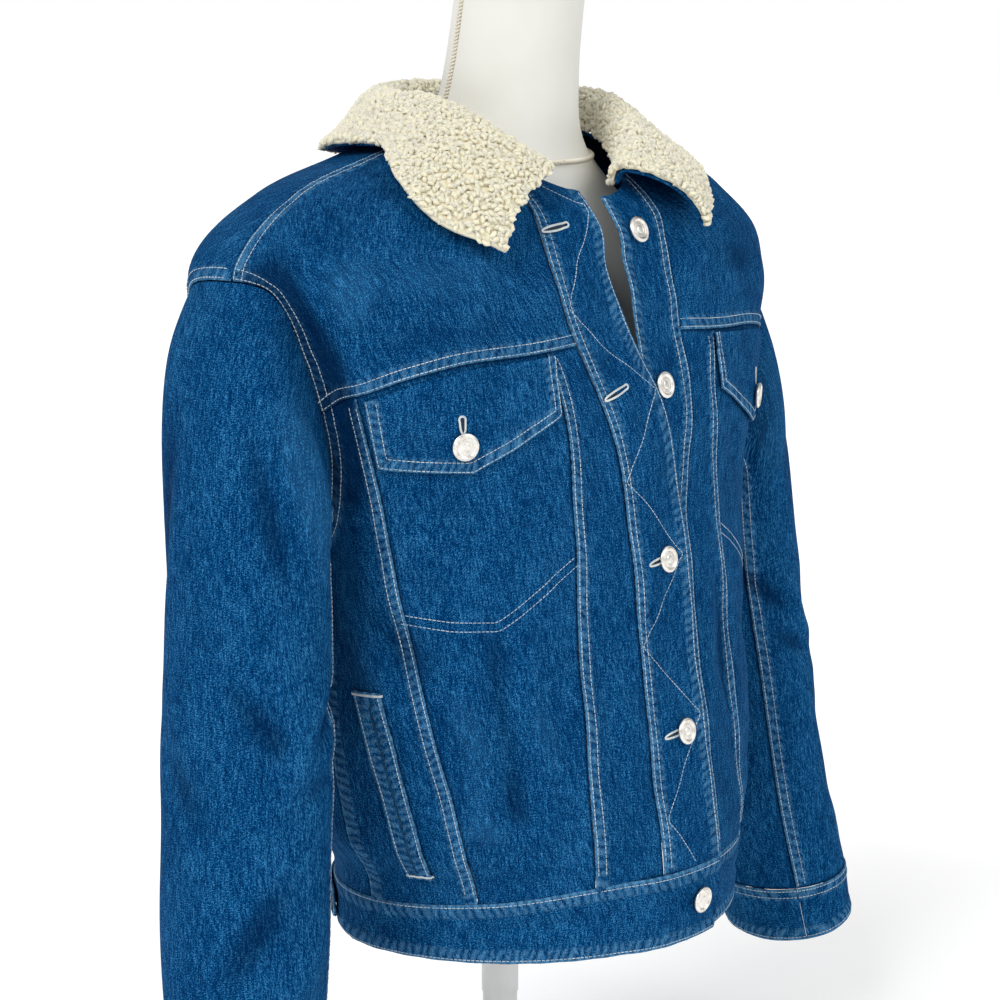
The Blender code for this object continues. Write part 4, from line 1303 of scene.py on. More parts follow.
def collar_half(table, along, side, steps):
    """Half of the collar: one Bezier up the stand to the roll, and one down the fall to its edge."""
    edge_turn, edge_level, height, stand = np.moveaxis(smooth_rows(table, along), -1, 0)
    stand = stand[:, None]
    root = body(along, np.full_like(along, 1.0), side)
    up = np.array([0.0, 0.0, 1.0])
    out = unit(body_normal(along, np.full_like(along, 0.985), side) * (1, 1, 0.0))
    edge = body(edge_turn, edge_level, side) + body_normal(edge_turn, edge_level, side) * height[:, None]
    level = edge_level + 0.03
    above = body(edge_turn, level, side) + body_normal(edge_turn, level, side) * (height + 0.003)[:, None]
    start = root + up * 0.0050 - out * 0.001
    roll = root + up * (stand + 0.003) + out * COLLAR_ROLL
    fall = unit(edge - above)
    reach = np.linalg.norm(edge - roll, axis=-1, keepdims=True)
    stand_part = [
        bezier(start, start + up * stand * 0.77, roll - out * stand * 0.39, roll, s)
        for s in np.linspace(0, 1, steps[0] + 1)
    ]
    fall_part = [
        bezier(roll, roll + out * 0.013, edge - fall * reach * 0.45, edge, s)
        for s in np.linspace(0, 1, steps[1] + 1)[1:]
    ]
    return np.stack(stand_part + fall_part)


def collar_surface(columns, steps):
    """The whole collar from the right end, round the back, to the left end, a little wavy at its edge."""
    right = np.linspace(COLLAR_RIGHT[0, 0], 2.0, columns + 1)
    left = np.linspace(COLLAR_LEFT[0, 0], 2.0, columns + 1)[::-1][1:]
    points = np.concatenate(
        [collar_half(COLLAR_RIGHT, right, -1, steps), collar_half(COLLAR_LEFT, left, 1, steps)], axis=1
    )
    down = np.linspace(0, 1, points.shape[0])[:, None]
    across = np.linspace(0, 1, points.shape[1])[None, :]
    normals = grid_normals(points)
    wave = 0.0013 * np.sin(31 * across + 2 * down) + 0.0008 * np.sin(57 * across)
    return points + normals * (wave * smooth_step(down * 1.3 - 0.3))[..., None], normals


def grid_normals(points):
    """Normals of the collar's grid that look in at the neck and out over the fall."""
    down, across = np.gradient(points, axis=0), np.gradient(points, axis=1)
    normals = unit(np.cross(across, down))
    return -normals if (normals[0] * points[0] * (1, 1, 0)).sum() > 0 else normals


def read_grid(grid, row, column):
    """A grid of points read between its rows and columns."""
    row = np.clip(row, 0, grid.shape[0] - 1.0001)
    column = np.clip(column, 0, grid.shape[1] - 1.0001)
    i, j = row.astype(int), column.astype(int)
    s, t = (row - i)[:, None], (column - j)[:, None]
    low = grid[i, j] * (1 - t) + grid[i, j + 1] * t
    high = grid[i + 1, j] * (1 - t) + grid[i + 1, j + 1] * t
    return low * (1 - s) + high * s


CURL_SPACING = 0.00305
CURL_RINGS, CURL_SIDES = 6, 4


def curl_places(points, rng):
    """Even, jittered rows and columns over a grid of points, one for each curl."""
    down = lengths_along(points, 0).mean(1)
    rows, columns = [], []
    for reach in np.arange(0.0003, down[-1], CURL_SPACING):
        row = np.interp(reach, down, np.arange(len(down)))
        edge = read_grid(points, np.full(points.shape[1], row), np.arange(points.shape[1], dtype=float))
        length = length_so_far(edge)
        places = np.arange(rng.uniform(0, CURL_SPACING), length[-1], CURL_SPACING)
        places = np.clip(places + rng.uniform(-0.0011, 0.0011, len(places)), 0, length[-1])
        columns.append(np.interp(places, length, np.arange(len(length))))
        step = 0.0012 / down[-1] * len(down)
        rows.append(row + rng.uniform(-step, step, len(places)))
    return np.concatenate(rows), np.concatenate(columns)


def curl_mesh(name, centres, normals, rng):
    """Curls of wool: each is a tapered tube along an open loop that stands out of the backing.

    The loop is centre + radius (cosine e + sine f), e lying in the cloth and f leaning out of it, over
    about 250 degrees, and it drifts sideways as it turns.
    """
    count = len(centres)
    side = unit(np.cross(normals, rng.normal(size=(count, 3))))
    other = np.cross(normals, side)
    lean = rng.uniform(0.10, 0.90, (count, 1))
    e, f = side, unit(normals * lean + other * (1 - lean) * rng.choice([-1, 1], (count, 1)))
    g = np.cross(e, f)
    radius = rng.uniform(0.0014, 0.0026, (count, 1, 1))
    start = rng.uniform(-0.6, 0.6, (count, 1))
    angle = start + np.linspace(-0.3, 1, CURL_RINGS) * rng.uniform(2.6, 4.2, (count, 1))
    drift = np.linspace(-1, 1, CURL_RINGS)[None, :, None] * rng.uniform(-0.0012, 0.0012, (count, 1, 1))
    cosine, sine = np.cos(angle)[..., None], np.sin(angle)[..., None]
    core = centres[:, None] + radius * (cosine * e[:, None] + sine * f[:, None]) + g[:, None] * drift
    outward = unit(cosine * e[:, None] + sine * f[:, None])
    thick = rng.uniform(0.00165, 0.00230, (count, 1)) * np.sin(np.linspace(0.35, 2.75, CURL_RINGS)) ** 0.6
    turn = np.linspace(0, 2 * math.pi, CURL_SIDES, endpoint=False)[None, None, :, None]
    rim = np.cos(turn) * outward[:, :, None] + np.sin(turn) * g[:, None, None]
    points = core[:, :, None] + rim * thick[:, :, None, None]
    index = np.arange(CURL_RINGS * CURL_SIDES).reshape(CURL_RINGS, CURL_SIDES)
    following = np.roll(index, -1, axis=1)
    one = np.stack([index[:-1], following[:-1], following[1:]], -1).reshape(-1, 3)
    two = np.stack([index[:-1], following[1:], index[1:]], -1).reshape(-1, 3)
    caps = [(index[0, 0], index[0, i + 1], index[0, i]) for i in range(1, CURL_SIDES - 1)]
    caps += [(index[-1, 0], index[-1, i], index[-1, i + 1]) for i in range(1, CURL_SIDES - 1)]
    faces = np.concatenate([one, two, np.array(caps)])
    per = CURL_RINGS * CURL_SIDES
    mesh = mesh_of(
        name, points.reshape(-1, 3), (faces[None] + np.arange(count)[:, None, None] * per).reshape(-1, 3)
    )
    # How far each point stands out of the backing, which the sherpa finish turns into painted shade low
    # in the pile.
    rise = ((points - centres[:, None, None]) * normals[:, None, None]).sum(-1) / 0.0022
    add_values(mesh, "rise", np.clip(rise * 0.5 + 0.5, 0, 1))
    add_values(mesh, "tint", np.repeat(rng.uniform(0, 1, count), per))
    return mesh


def make_collar():
    points, normals = collar_surface(COLLAR_COLUMNS, (10, 26))
    inner = points[:-1]
    mesh = grid_mesh("under_collar_cloth", inner, False)
    across, upward = lengths_along(inner, 1), lengths_along(inner, 0)
    add_cloth_map(mesh, across - across[:, [COLLAR_COLUMNS]], upward)
    for name in ("seam_gap", "seam_lap", "seam_along", "fold"):
        value = NO_SEAM_NEAR if name == "seam_gap" else 0.0
        add_values(mesh, name, np.full(inner.shape[:2], value))
    under = add_wall(add_piece("under_collar_cloth", mesh, FINISH["denim"]), DENIM)
    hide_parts("under_collar")

    rng = np.random.default_rng(7)
    top = points + normals * (2 * COLLAR_GAP + SHERPA_BACKING)
    lumps = rng.uniform(-0.0003, 0.0009, top.shape[:2])[..., None]
    mesh = grid_mesh("sherpa_backing", top + normals * lumps, False)
    # The backing takes a middling share of the pile's painted shade.
    add_values(mesh, "rise", np.full(top.shape[:2], 0.55))
    add_values(mesh, "tint", np.full(top.shape[:2], 0.5))
    backing = add_wall(add_piece("sherpa_backing", mesh, FINISH["sherpa"]), SHERPA_BACKING)
    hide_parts("sherpa_collar")

    rows, columns = curl_places(top, rng)
    centres, out = read_grid(top, rows, columns), unit(read_grid(normals, rows, columns))
    # At the rims the curls hang over the backing's edge.
    beyond = np.clip((rows - (top.shape[0] - 1.9)) / 0.9, 0, 1)[:, None]
    centres = centres + out * 0.0002 - out * (0.0020 * beyond * rng.uniform(0, 1, (len(rows), 1)))
    middle = top.shape[1] / 2
    for label, chosen in (("right", columns < middle), ("left", columns >= middle)):
        mesh = curl_mesh(f"sherpa_curls_{label}", centres[chosen], out[chosen], rng)
        add_piece(f"sherpa_curls_{label}", mesh, FINISH["sherpa"])


# Buttons


def turned(name, profile, count, centre=(0, 0, 0), frame_rows=None):
    """A profile of radius and height turned round its axis, closed where its radius is nothing."""
    angle = np.linspace(0, 2 * math.pi, count, endpoint=False)
    radius, height = np.array(profile).T
    points = np.stack(
        [
            radius[1:-1, None] * np.cos(angle), radius[1:-1, None] * np.sin(angle),
            np.repeat(height[1:-1, None], count, axis=1),
        ],
        -1,
    ).reshape(-1, 3)
    points = np.concatenate([points, [(0, 0, height[0]), (0, 0, height[-1])]])
    rows = len(radius) - 2
    index = np.arange(rows * count).reshape(rows, count)
    following = np.roll(index, -1, axis=1)
    quads = [
        np.stack([index[:-1], index[1:], following[1:]], -1).reshape(-1, 3),
        np.stack([index[:-1], following[1:], following[:-1]], -1).reshape(-1, 3),
        np.stack([np.full(count, rows * count), index[0], following[0]], -1),
        np.stack([np.full(count, rows * count + 1), following[-1], index[-1]], -1),
    ]
    if frame_rows is not None:
        points = points @ frame_rows
    return mesh_of(name, points + np.array(centre), np.concatenate(quads))


def button_profile():
    """From the crown out: a flat boss, two plain grooved rings, a raised rolled rim and the back."""
    share = np.linspace(0, 1, 26)
    height = 0.72 + 0.10 * np.exp(-((share / 0.30) ** 4))
    for middle, depth, width in ((0.36, -0.10, 0.045), (0.52, -0.06, 0.035), (0.66, -0.10, 0.05)):
        height = height + depth * np.exp(-(((share - middle) / width) ** 2))
    height = height + 0.24 * np.exp(-(((share - 0.86) / 0.10) ** 2))
    face = [(BUTTON_RADIUS * s, BUTTON_HEIGHT * h) for s, h in zip(share * 0.93, height)]
    side = [
        (BUTTON_RADIUS * 0.975, BUTTON_HEIGHT * 0.74), (BUTTON_RADIUS, BUTTON_HEIGHT * 0.52),
        (BUTTON_RADIUS * 0.985, BUTTON_HEIGHT * 0.30), (BUTTON_RADIUS * 0.88, BUTTON_HEIGHT * 0.06),
        (BUTTON_RADIUS * 0.80, 0.0), (0.0, 0.0),
    ]
    return face + side


def make_button(node, spot, side, out):
    """A turned button standing on the cloth at this turn and level."""
    point, normal = on_body(np.array([spot], float), side, out)
    point, normal = point[0] + normal[0] * BUTTON_GAP, normal[0]
    across = unit(np.cross([0.0, 0.0, 1.0], normal))
    rows = np.stack([across, np.cross(normal, across), normal])
    mesh = turned(f"{node}_metal", button_profile(), 48, point, rows)
    add_piece(f"{node}_metal", mesh, FINISH["button_metal"], node)


def make_buttons():
    for number, level in enumerate(BUTTON_LEVELS, start=1):
        fastened = level < FASTENED_BELOW
        side, out = (-1, RIGHT_FRONT_LIFT + 0.0006) if fastened else (1, 0.0006)
        across = 0.0 if fastened else lapel_shift(level, 1)
        make_button(f"front_button_{number}", (float(turn_at(across, level)), level), side, out)
    make_button("waist_button", (0.0, WAIST_BUTTON_LEVEL), -1, RIGHT_FRONT_LIFT + 0.0022)
    for label, side in SIDES:
        make_button(f"flap_button_{label}", FLAP_BUTTON, side, LAID_OUT + 0.0004)
        make_button(f"tab_button_{label}", TAB_BUTTON, side, LAID_OUT + 0.0016)


# Dress form


def form_ring(z, count, out=0.0):
    """A ring of the form at this height: a half ellipse in front joined to one behind."""
    angle = np.linspace(0, 2 * math.pi, count, endpoint=False)
    half_width, front, back, centre_y = smooth_rows(FORM, np.asarray(z, float))
    depth = np.where(np.cos(angle) > 0, front, back) + out
    x, y = (half_width + out) * np.sin(angle), centre_y - depth * np.cos(angle)
    return np.stack([x, y, np.full(count, float(z))], -1)


def closed_tube(name, rings):
    """A tube of rings with each end drawn in to a point."""
    rings = np.array(rings)
    mesh = grid_mesh(name, rings, False, wrap=True)
    count = rings.shape[1]
    points = np.concatenate([rings.reshape(-1, 3), [rings[0].mean(0)], [rings[-1].mean(0)]])
    quads = np.array([polygon.vertices[:] for polygon in mesh.polygons])
    bpy.data.meshes.remove(mesh)
    triangles = np.concatenate([quads[:, [0, 1, 2]], quads[:, [0, 2, 3]]])
    low, high = np.arange(count), np.arange(count) + (len(rings) - 1) * count
    foot = np.stack([np.full(count, len(points) - 2), np.roll(low, -1), low], -1)
    head = np.stack([np.full(count, len(points) - 1), high, np.roll(high, -1)], -1)
    return mesh_of(name, points, np.concatenate([triangles, foot, head]))


def twisted_cord(name, path, radius=0.0012, pitch=0.0052):
    """Two strands wound round a path: each is a tube along a helix, half a turn apart."""
    length = length_so_far(path)
    even = np.linspace(0, length[-1], max(12, int(length[-1] / pitch * 7)))
    path = read_line(path, length, even)
    way = unit(np.gradient(path, axis=0))
    first = unit(np.cross(way, [0.31, 0.52, 0.80]))
    second = np.cross(way, first)
    points, faces = [], []
    turn = np.linspace(0, 2 * math.pi, 6, endpoint=False)[None, :, None]
    for strand in (0.0, math.pi):
        phase = (even / pitch * 2 * math.pi + strand)[:, None]
        out = np.cos(phase) * first + np.sin(phase) * second
        core = path + out * radius * 0.85
        ring = core[:, None] + radius * (np.cos(turn) * first[:, None] + np.sin(turn) * second[:, None])
        index = np.arange(ring.shape[0] * 6).reshape(-1, 6) + sum(len(part) for part in points)
        right = np.roll(index, -1, axis=1)
        points.append(ring.reshape(-1, 3))
        faces.append(np.stack([index[:-1], right[:-1], right[1:], index[1:]], -1).reshape(-1, 4))
    return mesh_of(name, np.concatenate(points), np.concatenate(faces))


NECK_SEAM_HEIGHT = 0.760
# Where the cover ends under the neck cap, and the points round each ring of the form.
FORM_TOP = NECK_TOP - 0.008
FORM_POINTS = 96


def make_form():
    """The form's cover, its neck cap and the cords over its seams, on a pole and a round foot."""
    heights = np.linspace(TORSO_FOOT + 0.004, NECK_TOP - 0.009, 90)
    heights = np.concatenate([[TORSO_FOOT + 0.001], heights])
    rings = [form_ring(TORSO_FOOT, FORM_POINTS, -0.004)] + [form_ring(z, FORM_POINTS) for z in heights]
    rings.append(form_ring(FORM_TOP, FORM_POINTS, -0.001))
    cap_rings = []
    for height, inward in ((0.0, 0.001), (0.0012, 0.0), (0.0055, 0.0), (0.0072, 0.0008), (0.008, 0.003)):
        ring = form_ring(FORM_TOP, FORM_POINTS, -inward)
        ring[:, 2] = FORM_TOP + 0.0004 + height * 0.95
        cap_rings.append(ring)
    for name, part, node_name in (
        ("dress_form_cover", rings, "dress_form"), ("neck_cap_disc", cap_rings, "neck_cap")
    ):
        add_piece(name, closed_tube(name, part), FINISH["form_cover"], node_name)
    angles = np.linspace(0, 2 * math.pi, FORM_POINTS, endpoint=False)
    dips = NECK_SEAM_HEIGHT - 0.010 * np.cos(angles) * (np.cos(angles) > 0)
    ring = np.stack([form_ring(z, FORM_POINTS, 0.0006)[i] for i, z in enumerate(dips)])
    heights = np.linspace(NECK_SEAM_HEIGHT, NECK_TOP - 0.009, 60)
    sides = [form_ring(z, FORM_POINTS, 0.0008) for z in heights]
    for name, path in (
        ("form_side_cord_right", np.stack([part[67] for part in sides])),
        ("form_side_cord_left", np.stack([part[29] for part in sides])),
        ("form_neck_cord", np.concatenate([ring, ring[:1]])),
    ):
        add_piece(name, twisted_cord(name, path), FINISH["form_cord"])

    pole_top = TORSO_FOOT - 0.0006
    pole = turned(
        "stand_pole_tube",
        [
            (0, pole_top), (POLE_RADIUS * 0.96, pole_top), (POLE_RADIUS, TORSO_FOOT - 0.0014),
            (POLE_RADIUS, 0.120), (POLE_RADIUS * 0.94, 0.1194), (POLE_RADIUS * 0.94, 0.0246),
            (POLE_RADIUS, 0.024), (POLE_RADIUS, BASE_HEIGHT + 0.0006), (0, BASE_HEIGHT + 0.0006),
        ],
        64,
    )
    add_piece("stand_pole_tube", pole, FINISH["stand_metal"], "stand_pole")
    inner, outer = POLE_RADIUS * 2, BASE_RADIUS * 0.985
    top_line = [
        (inner + (outer - inner) * s, BASE_HEIGHT * (1 - 0.60 * s**2.2)) for s in np.linspace(0, 1, 24)
    ]
    foot = turned(
        "stand_foot",
        [(0, BASE_HEIGHT), (POLE_RADIUS * 1.5, BASE_HEIGHT)] + top_line
        + [
            (BASE_RADIUS * 0.997, BASE_HEIGHT * 0.30), (BASE_RADIUS, BASE_HEIGHT * 0.20),
            (BASE_RADIUS, BASE_HEIGHT * 0.06), (BASE_RADIUS * 0.993, 0.0), (0, 0.0),
        ],
        128,
    )
    add_piece("stand_foot", foot, FINISH["stand_metal"], "stand_base")


# Finishes


def new_finish(name):
    made = bpy.data.materials.new(name)
    made.use_nodes = True
    return made, made.node_tree


def dress(made, colour, inputs, relief=None, strength=1.0, distance=1.0):
    """Gives a finish its colour, a bump made from a relief, and its shader's other inputs."""
    tree = made.node_tree
    shader = tree.nodes["Principled BSDF"]
    tree.links.new(colour, shader.inputs["Base Color"])
    if relief is not None:
        settings = {"Height": relief, "Strength": strength, "Distance": distance}
        bump = node(tree, "ShaderNodeBump", settings)
        tree.links.new(bump.outputs[0], shader.inputs["Normal"])
    for name, value in inputs.items():
        shader.inputs[name].default_value = value
    return made


def node(tree, kind, inputs=(), **settings):
    """A shader node with its settings, and its inputs given as links or as values."""
    made = tree.nodes.new(kind)
    for name, value in settings.items():
        setattr(made, name, value)
    for name, value in dict(inputs).items():
        if isinstance(value, bpy.types.NodeSocket):
            tree.links.new(value, made.inputs[name])
        else:
            made.inputs[name].default_value = value
    return made


def arithmetic(tree, operation, a, b=0.0, c=0.0):
    return node(tree, "ShaderNodeMath", {0: a, 1: b, 2: c}, operation=operation).outputs[0]


def span(tree, value, low, high, to_low=0.0, to_high=1.0, smooth=True):
    """A value carried from one range to another and held at both ends."""
    kind = "SMOOTHSTEP" if smooth else "LINEAR"
    made = node(
        tree, "ShaderNodeMapRange",
        {"Value": value, "From Min": low, "From Max": high, "To Min": to_low, "To Max": to_high},
        interpolation_type=kind,
    )
    return made.outputs[0]


def blend_colour(tree, share, a, b):
    made = tree.nodes.new("ShaderNodeMix")
    made.data_type = "RGBA"
    for index, value in ((0, share), (6, a), (7, b)):
        if isinstance(value, bpy.types.NodeSocket):
            tree.links.new(value, made.inputs[index])
        else:
            made.inputs[index].default_value = value if index == 0 else (*value, 1.0)
    return made.outputs[2]


def stretched_noise(tree, where, scale, turn=0.0, detail=2.0):
    """Noise whose grain is drawn out: the place is turned, then scaled differently each way."""
    turned_place = node(
        tree, "ShaderNodeMapping", {"Vector": where, "Rotation": (0, 0, turn)}, vector_type="POINT"
    ).outputs[0]
    scaled = node(tree, "ShaderNodeMapping", {"Vector": turned_place, "Scale": scale}).outputs[0]
    inputs = {"Vector": scaled, "Scale": 1.0, "Detail": detail, "Roughness": 0.6}
    return node(tree, "ShaderNodeTexNoise", inputs).outputs["Fac"]


def object_noise(tree, scale, turn=0.0, detail=2.0):
    """Stretched noise on the object's own coordinates; one number is the same scale each way."""
    where = node(tree, "ShaderNodeTexCoord").outputs["Object"]
    return stretched_noise(tree, where, np.broadcast_to(scale, 3).tolist(), turn, detail)


def vertex_value(tree, name):
    """A number that add_values wrote on the mesh."""
    return node(tree, "ShaderNodeAttribute", attribute_name=name).outputs["Fac"]


def times(tree, a, b):
    return arithmetic(tree, "MULTIPLY", a, b)


def denim_finish():
    """Indigo twill: pale specks in diagonal lines, upright slubs, wear on the seams' ridges, painted
    shade in the seams' ditches and the folds' hollows, and a light tone on the folds' ridges, partly
    fading and partly painted highlight.
    """
    made, tree = new_finish("denim")
    where = node(tree, "ShaderNodeUVMap", uv_map="cloth").outputs[0]
    twill = stretched_noise(tree, where, (1500, 480, 1), math.radians(-62), 1.0)
    slub = stretched_noise(tree, where, (1150, 120, 1), 0.0, 2.0)
    weft = stretched_noise(tree, where, (1500, 1500, 1), 0.0, 1.0)
    fade = stretched_noise(tree, where, (300, 45, 1), 0.0, 3.0)
    cloud = stretched_noise(tree, where, (22, 12, 1), 0.0, 3.0)
    patchy = stretched_noise(tree, where, (120, 60, 1), 0.5, 3.0)
    grain = arithmetic(tree, "MULTIPLY_ADD", twill, 0.55, times(tree, slub, 0.45))
    for noise, weight in ((weft, 0.65), (patchy, 0.10), (cloud, 0.16), (fade, 0.22)):
        grain = arithmetic(tree, "MULTIPLY_ADD", arithmetic(tree, "SUBTRACT", noise, 0.5), weight, grain)
    tone = span(tree, grain, 0.40, 0.68, smooth=False)
    deep = blend_colour(tree, span(tree, tone, 0.0, 0.5), (0.0, 0.018, 0.075), (0.0, 0.056, 0.178))
    cloth = blend_colour(tree, span(tree, tone, 0.45, 1.0), deep, (0.040, 0.205, 0.420))

    gap, lap = vertex_value(tree, "seam_gap"), vertex_value(tree, "seam_lap")
    shaded_low_side = arithmetic(tree, "SUBTRACT", 1.0, lap)
    along = times(tree, vertex_value(tree, "seam_along"), 780.0)
    slant = arithmetic(tree, "MULTIPLY_ADD", gap, 330.0, along)
    uneven = times(tree, arithmetic(tree, "SUBTRACT", patchy, 0.5), 9.0)
    pucker = arithmetic(tree, "SINE", arithmetic(tree, "ADD", slant, uneven))
    pucker = arithmetic(tree, "MULTIPLY_ADD", pucker, 0.5, 0.5)
    lapped = times(tree, lap, span(tree, gap, SEAM_STRIP, SEAM_STRIP + 0.003, 1.0, 0.0))
    ridge = times(tree, lap, span(tree, gap, 0.0006, 0.0034, 1.0, 0.0))
    # Painted shade in the ditch on the low side of each seam, beside the lapped edge.
    under = times(tree, shaded_low_side, span(tree, gap, 0.0004, 0.0034, 1.0, 0.0))
    strip_wear = times(tree, lapped, times(tree, pucker, 0.60))
    wear = arithmetic(tree, "ADD", strip_wear, times(tree, ridge, 0.50))
    wear = times(tree, wear, span(tree, grain, 0.44, 0.62, 0.45, 1.0))
    # Painted shade in the folds' hollows, and on their ridges a light tone that is partly fading and
    # partly painted highlight.
    fold = vertex_value(tree, "fold")
    for share, colour in (
        (wear, (0.105, 0.290, 0.490)),
        (times(tree, under, 0.70), (0.0, 0.010, 0.042)),
        (span(tree, fold, -0.95, -0.10, 0.75, 0.0), (0.0, 0.010, 0.045)),
        (span(tree, fold, 0.10, 0.95, 0.0, 0.12), (0.050, 0.220, 0.430)),
    ):
        cloth = blend_colour(tree, share, cloth, colour)

    puckers = times(tree, times(tree, lapped, pucker), 0.00080)
    height = arithmetic(tree, "MULTIPLY_ADD", grain, 0.00016, puckers)
    inputs = {"Roughness": 0.86, "Specular IOR Level": 0.02, "Sheen Weight": 0.0, "Sheen Roughness": 0.5}
    return dress(made, cloth, inputs, height)


def thread_finish(name, colour, shade):
    """Cotton thread: ply twist as fine slanted noise, a little duller in places."""
    made, tree = new_finish(name)
    ply = object_noise(tree, (900, 900, 2600), 0.6)
    colour = blend_colour(tree, span(tree, object_noise(tree, 60), 0.35, 0.70), shade, colour)
    colour = blend_colour(tree, span(tree, ply, 0.30, 0.60, 0.35, 0.0), colour, shade)
    return dress(made, colour, {"Roughness": 0.62, "Sheen Weight": 0.2}, ply, 0.4, 0.0002)


def sherpa_finish():
    """Curly pile: cream on the curls, with painted shade that turns it warmer and darker towards the
    backing, and each curl its own random tint.
    """
    made, tree = new_finish("sherpa")
    fibre = object_noise(tree, 1500, detail=3.0)
    rise = span(tree, vertex_value(tree, "rise"), 0.0, 0.75)
    tint = span(tree, vertex_value(tree, "tint"), 0.0, 1.0, 0.0, 0.35)
    # Painted shade: warm tan low in the pile, cream at the curls' tops.
    colour = blend_colour(tree, rise, (0.72, 0.61, 0.38), (0.91, 0.86, 0.66))
    colour = blend_colour(tree, tint, colour, (0.82, 0.76, 0.60))
    colour = blend_colour(tree, span(tree, fibre, 0.40, 0.65, 0.18, 0.0), colour, (0.50, 0.38, 0.22))
    inputs = {
        "Roughness": 0.95, "Specular IOR Level": 0.10, "Sheen Weight": 0.35, "Sheen Roughness": 0.6,
        "Subsurface Weight": 0.40, "Subsurface Radius": (0.003, 0.0024, 0.0016), "Subsurface Scale": 1.0,
    }
    return dress(made, colour, inputs, fibre, 0.7, 0.0005)


def button_finish():
    """Pale stamped metal: fine scratches all ways and a soft uneven tarnish."""
    made, tree = new_finish("button_metal")
    scratch = object_noise(tree, (4200, 700, 1400), 0.8, 3.0)
    tarnish = object_noise(tree, 260, detail=3.0)
    colour = blend_colour(tree, span(tree, tarnish, 0.35, 0.70), (0.76, 0.73, 0.67), (0.94, 0.92, 0.88))
    rough = arithmetic(tree, "ADD", scratch, times(tree, tarnish, 0.5))
    roughness = tree.nodes["Principled BSDF"].inputs["Roughness"]
    tree.links.new(span(tree, rough, 0.5, 1.0, 0.30, 0.50), roughness)
    return dress(made, colour, {"Metallic": 1.0}, scratch, 0.25, 0.0001)


def cover_finish(name, colour, shade, grain_scale, bump_distance):
    """Smooth cover cloth: an even pale tone with a fine even weave."""
    made, tree = new_finish(name)
    weave = object_noise(tree, grain_scale)
    slow = object_noise(tree, (14, 14, 9), detail=3.0)
    tone = blend_colour(tree, span(tree, slow, 0.30, 0.70), shade, colour)
    tone = blend_colour(tree, span(tree, weave, 0.30, 0.60, 0.16, 0.0), tone, shade)
    inputs = {"Roughness": 0.85, "Specular IOR Level": 0.25, "Sheen Weight": 0.12}
    return dress(made, tone, inputs, weave, 0.5, bump_distance)


def paint_finish():
    """Satin powder coat: a faint orange peel and slow changes of gloss."""
    made, tree = new_finish("stand_metal")
    slow = object_noise(tree, 25, detail=3.0)
    tone = blend_colour(tree, span(tree, slow, 0.3, 0.7), (0.70, 0.70, 0.69), (0.78, 0.78, 0.77))
    roughness = tree.nodes["Principled BSDF"].inputs["Roughness"]
    tree.links.new(span(tree, slow, 0.3, 0.7, 0.36, 0.48), roughness)
    return dress(made, tone, {}, object_noise(tree, 420), 0.2, 0.0003)


def slot_shadow_finish():
    """The buttonhole's slot as painted shadow: a near-black indigo sheet with a faint mottle."""
    made, tree = new_finish("buttonhole_slot_shadow")
    shadow_mottle = span(tree, object_noise(tree, 1600), 0.40, 0.65)
    tone = blend_colour(tree, shadow_mottle, (0.002, 0.008, 0.024), (0.020, 0.050, 0.090))
    return dress(made, tone, {"Roughness": 0.95})


# Stage


def make_camera():
    """The camera at its azimuth, elevation and distance from the point that it looks at."""
    azimuth, elevation, distance = math.radians(-50.0), math.radians(10.0), 1.95
    target = np.array([0.0, 0.0, 0.500])
    flat = math.cos(elevation)
    way = np.array([math.sin(azimuth) * flat, -math.cos(azimuth) * flat, math.sin(elevation)])
    data = bpy.data.cameras.new("camera")
    data.sensor_fit = "HORIZONTAL"
    data.angle = math.radians(21.5)
    made = bpy.data.objects.new("camera", data)
    made.location = target + way * distance
    made.rotation_euler = (math.pi / 2 - elevation, 0.0, azimuth)
    bpy.context.scene.collection.objects.link(made)
    bpy.context.scene.camera = made


def soft_sun(name, place, strength, softness):
    """A broad far light that shines from this place towards the origin."""
    data = bpy.data.lights.new(name, "SUN")
    data.energy, data.angle = strength, math.radians(softness)
    made = bpy.data.objects.new(name, data)
    x, y, z = place
    made.rotation_euler = (math.atan2(math.hypot(x, y), z), 0.0, math.atan2(y, x) + math.pi / 2)
    bpy.context.scene.collection.objects.link(made)


FLOOR_HALF = 30.0
# Columns: name, place, strength, softness in degrees.
SUNS = (
    ("key", (-2.6, -0.4, 2.0), 1.75, 28), ("front", (0.5, -2.4, 1.6), 0.80, 40),
    ("back", (1.2, 2.4, 2.2), 0.60, 40),
)
# The world's strength as light and as the camera sees it.
WORLD_LIGHT, WORLD_SEEN = 0.42, 1.0


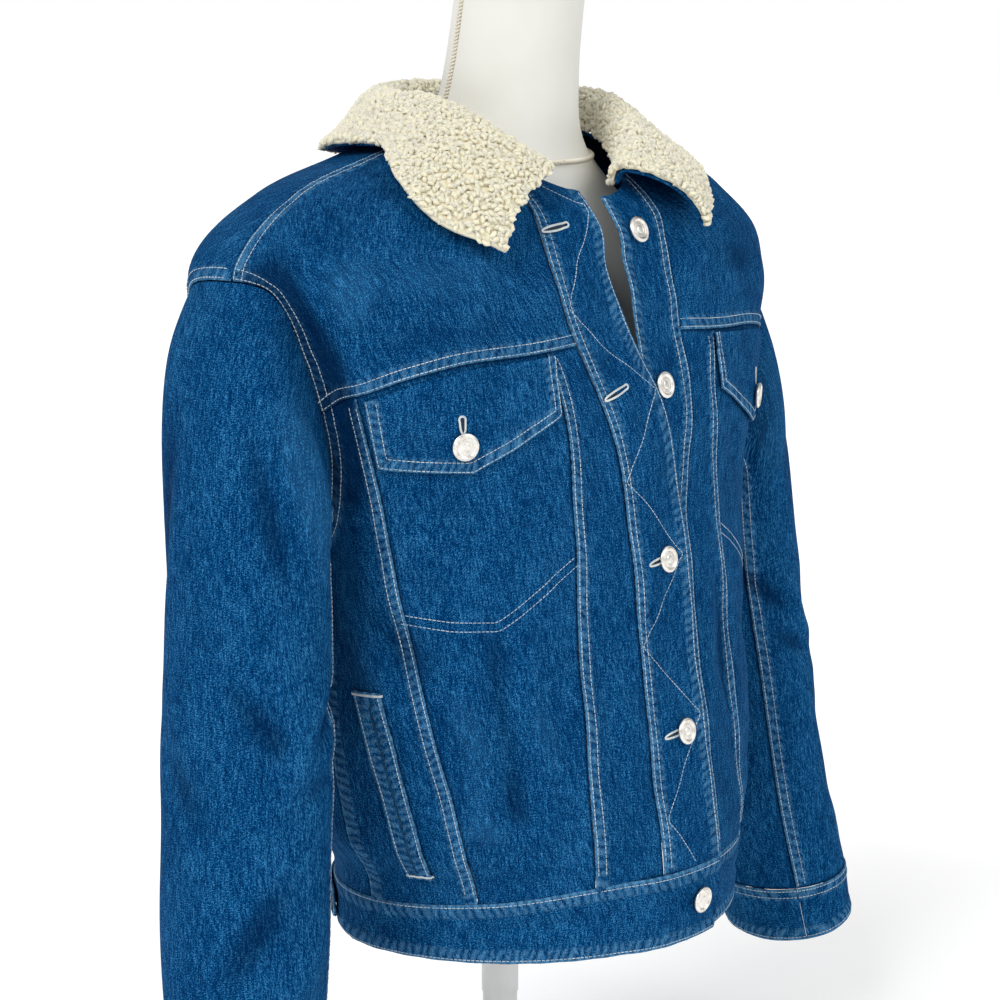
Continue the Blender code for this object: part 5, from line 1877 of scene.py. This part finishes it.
def make_stage():
    """A pale floor under a white world, and broad soft suns from the right, the front and the back."""
    corners = np.array([(-1, -1, 0), (1, -1, 0), (1, 1, 0), (-1, 1, 0)]) * FLOOR_HALF
    mesh = mesh_of("studio_floor", corners, np.array([[0, 1, 2, 3]]))
    floor = bpy.data.objects.new("studio_floor", mesh)
    paper, tree = new_finish("studio_paper")
    tone = blend_colour(tree, object_noise(tree, 40), (0.95, 0.95, 0.95), (0.97, 0.97, 0.97))
    inputs = {"Roughness": 0.9, "Emission Color": (1.0, 1.0, 1.0, 1.0), "Emission Strength": 0.22}
    mesh.materials.append(dress(paper, tone, inputs))
    bpy.context.scene.collection.objects.link(floor)

    world = bpy.data.worlds.new("white_studio")
    world.use_nodes = True
    background = world.node_tree.nodes["Background"]
    background.inputs["Color"].default_value = (1.0, 1.0, 1.0, 1.0)
    seen = node(world.node_tree, "ShaderNodeLightPath").outputs["Is Camera Ray"]
    strength = span(world.node_tree, seen, 0.0, 1.0, WORLD_LIGHT, WORLD_SEEN)
    world.node_tree.links.new(strength, background.inputs["Strength"])
    bpy.context.scene.world = world
    for sun in SUNS:
        soft_sun(*sun)
    bpy.context.scene.view_settings.view_transform = "Standard"
    bpy.context.scene.view_settings.look = "None"


# The jacket


make_camera()
FINISH = {
    "denim": denim_finish(),
    "sherpa": sherpa_finish(),
    "button_metal": button_finish(),
    "form_cover": cover_finish("form_cover", (0.77, 0.77, 0.73), (0.72, 0.72, 0.67), 1300, 0.0001),
    "form_cord": cover_finish("form_cord", (0.80, 0.76, 0.66), (0.60, 0.55, 0.44), 2600, 0.0002),
    "stand_metal": paint_finish(),
    "thread": thread_finish("topstitch_thread", (0.66, 0.74, 0.76), (0.32, 0.44, 0.54)),
    "tack": thread_finish("satin_thread", (0.76, 0.79, 0.75), (0.50, 0.56, 0.58)),
    "slot": slot_shadow_finish(),
}
make_stage()
collect_seams()
for label, side in SIDES:
    make_front(label, side)
    make_sleeve(label, side)
    make_flap(label, side)
    make_welt(label, side)
    make_waist_tab(label, side)
make_back()
make_waistband()
make_placket_holes()
make_collar()
make_buttons()
make_form()
for group, sets in ROWS_SEWN.items():
    name = f"topstitching_{group}"
    add_piece(name, stitch_mesh(name, sets), FINISH["thread"])
name = "bar_tacks_and_buttonholes"
add_piece(name, stitch_mesh(name, TACKS), FINISH["tack"])
# Each buttonhole's slot is a flat near-black sheet just above the cloth: a painted shadow.
slot_shadows = []
for ring in HOLES:
    middle = np.broadcast_to(ring.mean(0), ring.shape)
    inner = ring * 0.75 + middle * 0.25
    slot_shadows.append(np.stack([inner, np.roll(inner, -1, axis=0), middle], 1))
slot_shadows = np.concatenate(slot_shadows).reshape(-1, 3)
slot_shadow_faces = np.arange(len(slot_shadows)).reshape(-1, 3)
add_piece("buttonhole_slot_shadows", mesh_of("buttonhole_slot_shadows", slot_shadows, slot_shadow_faces), FINISH["slot"])
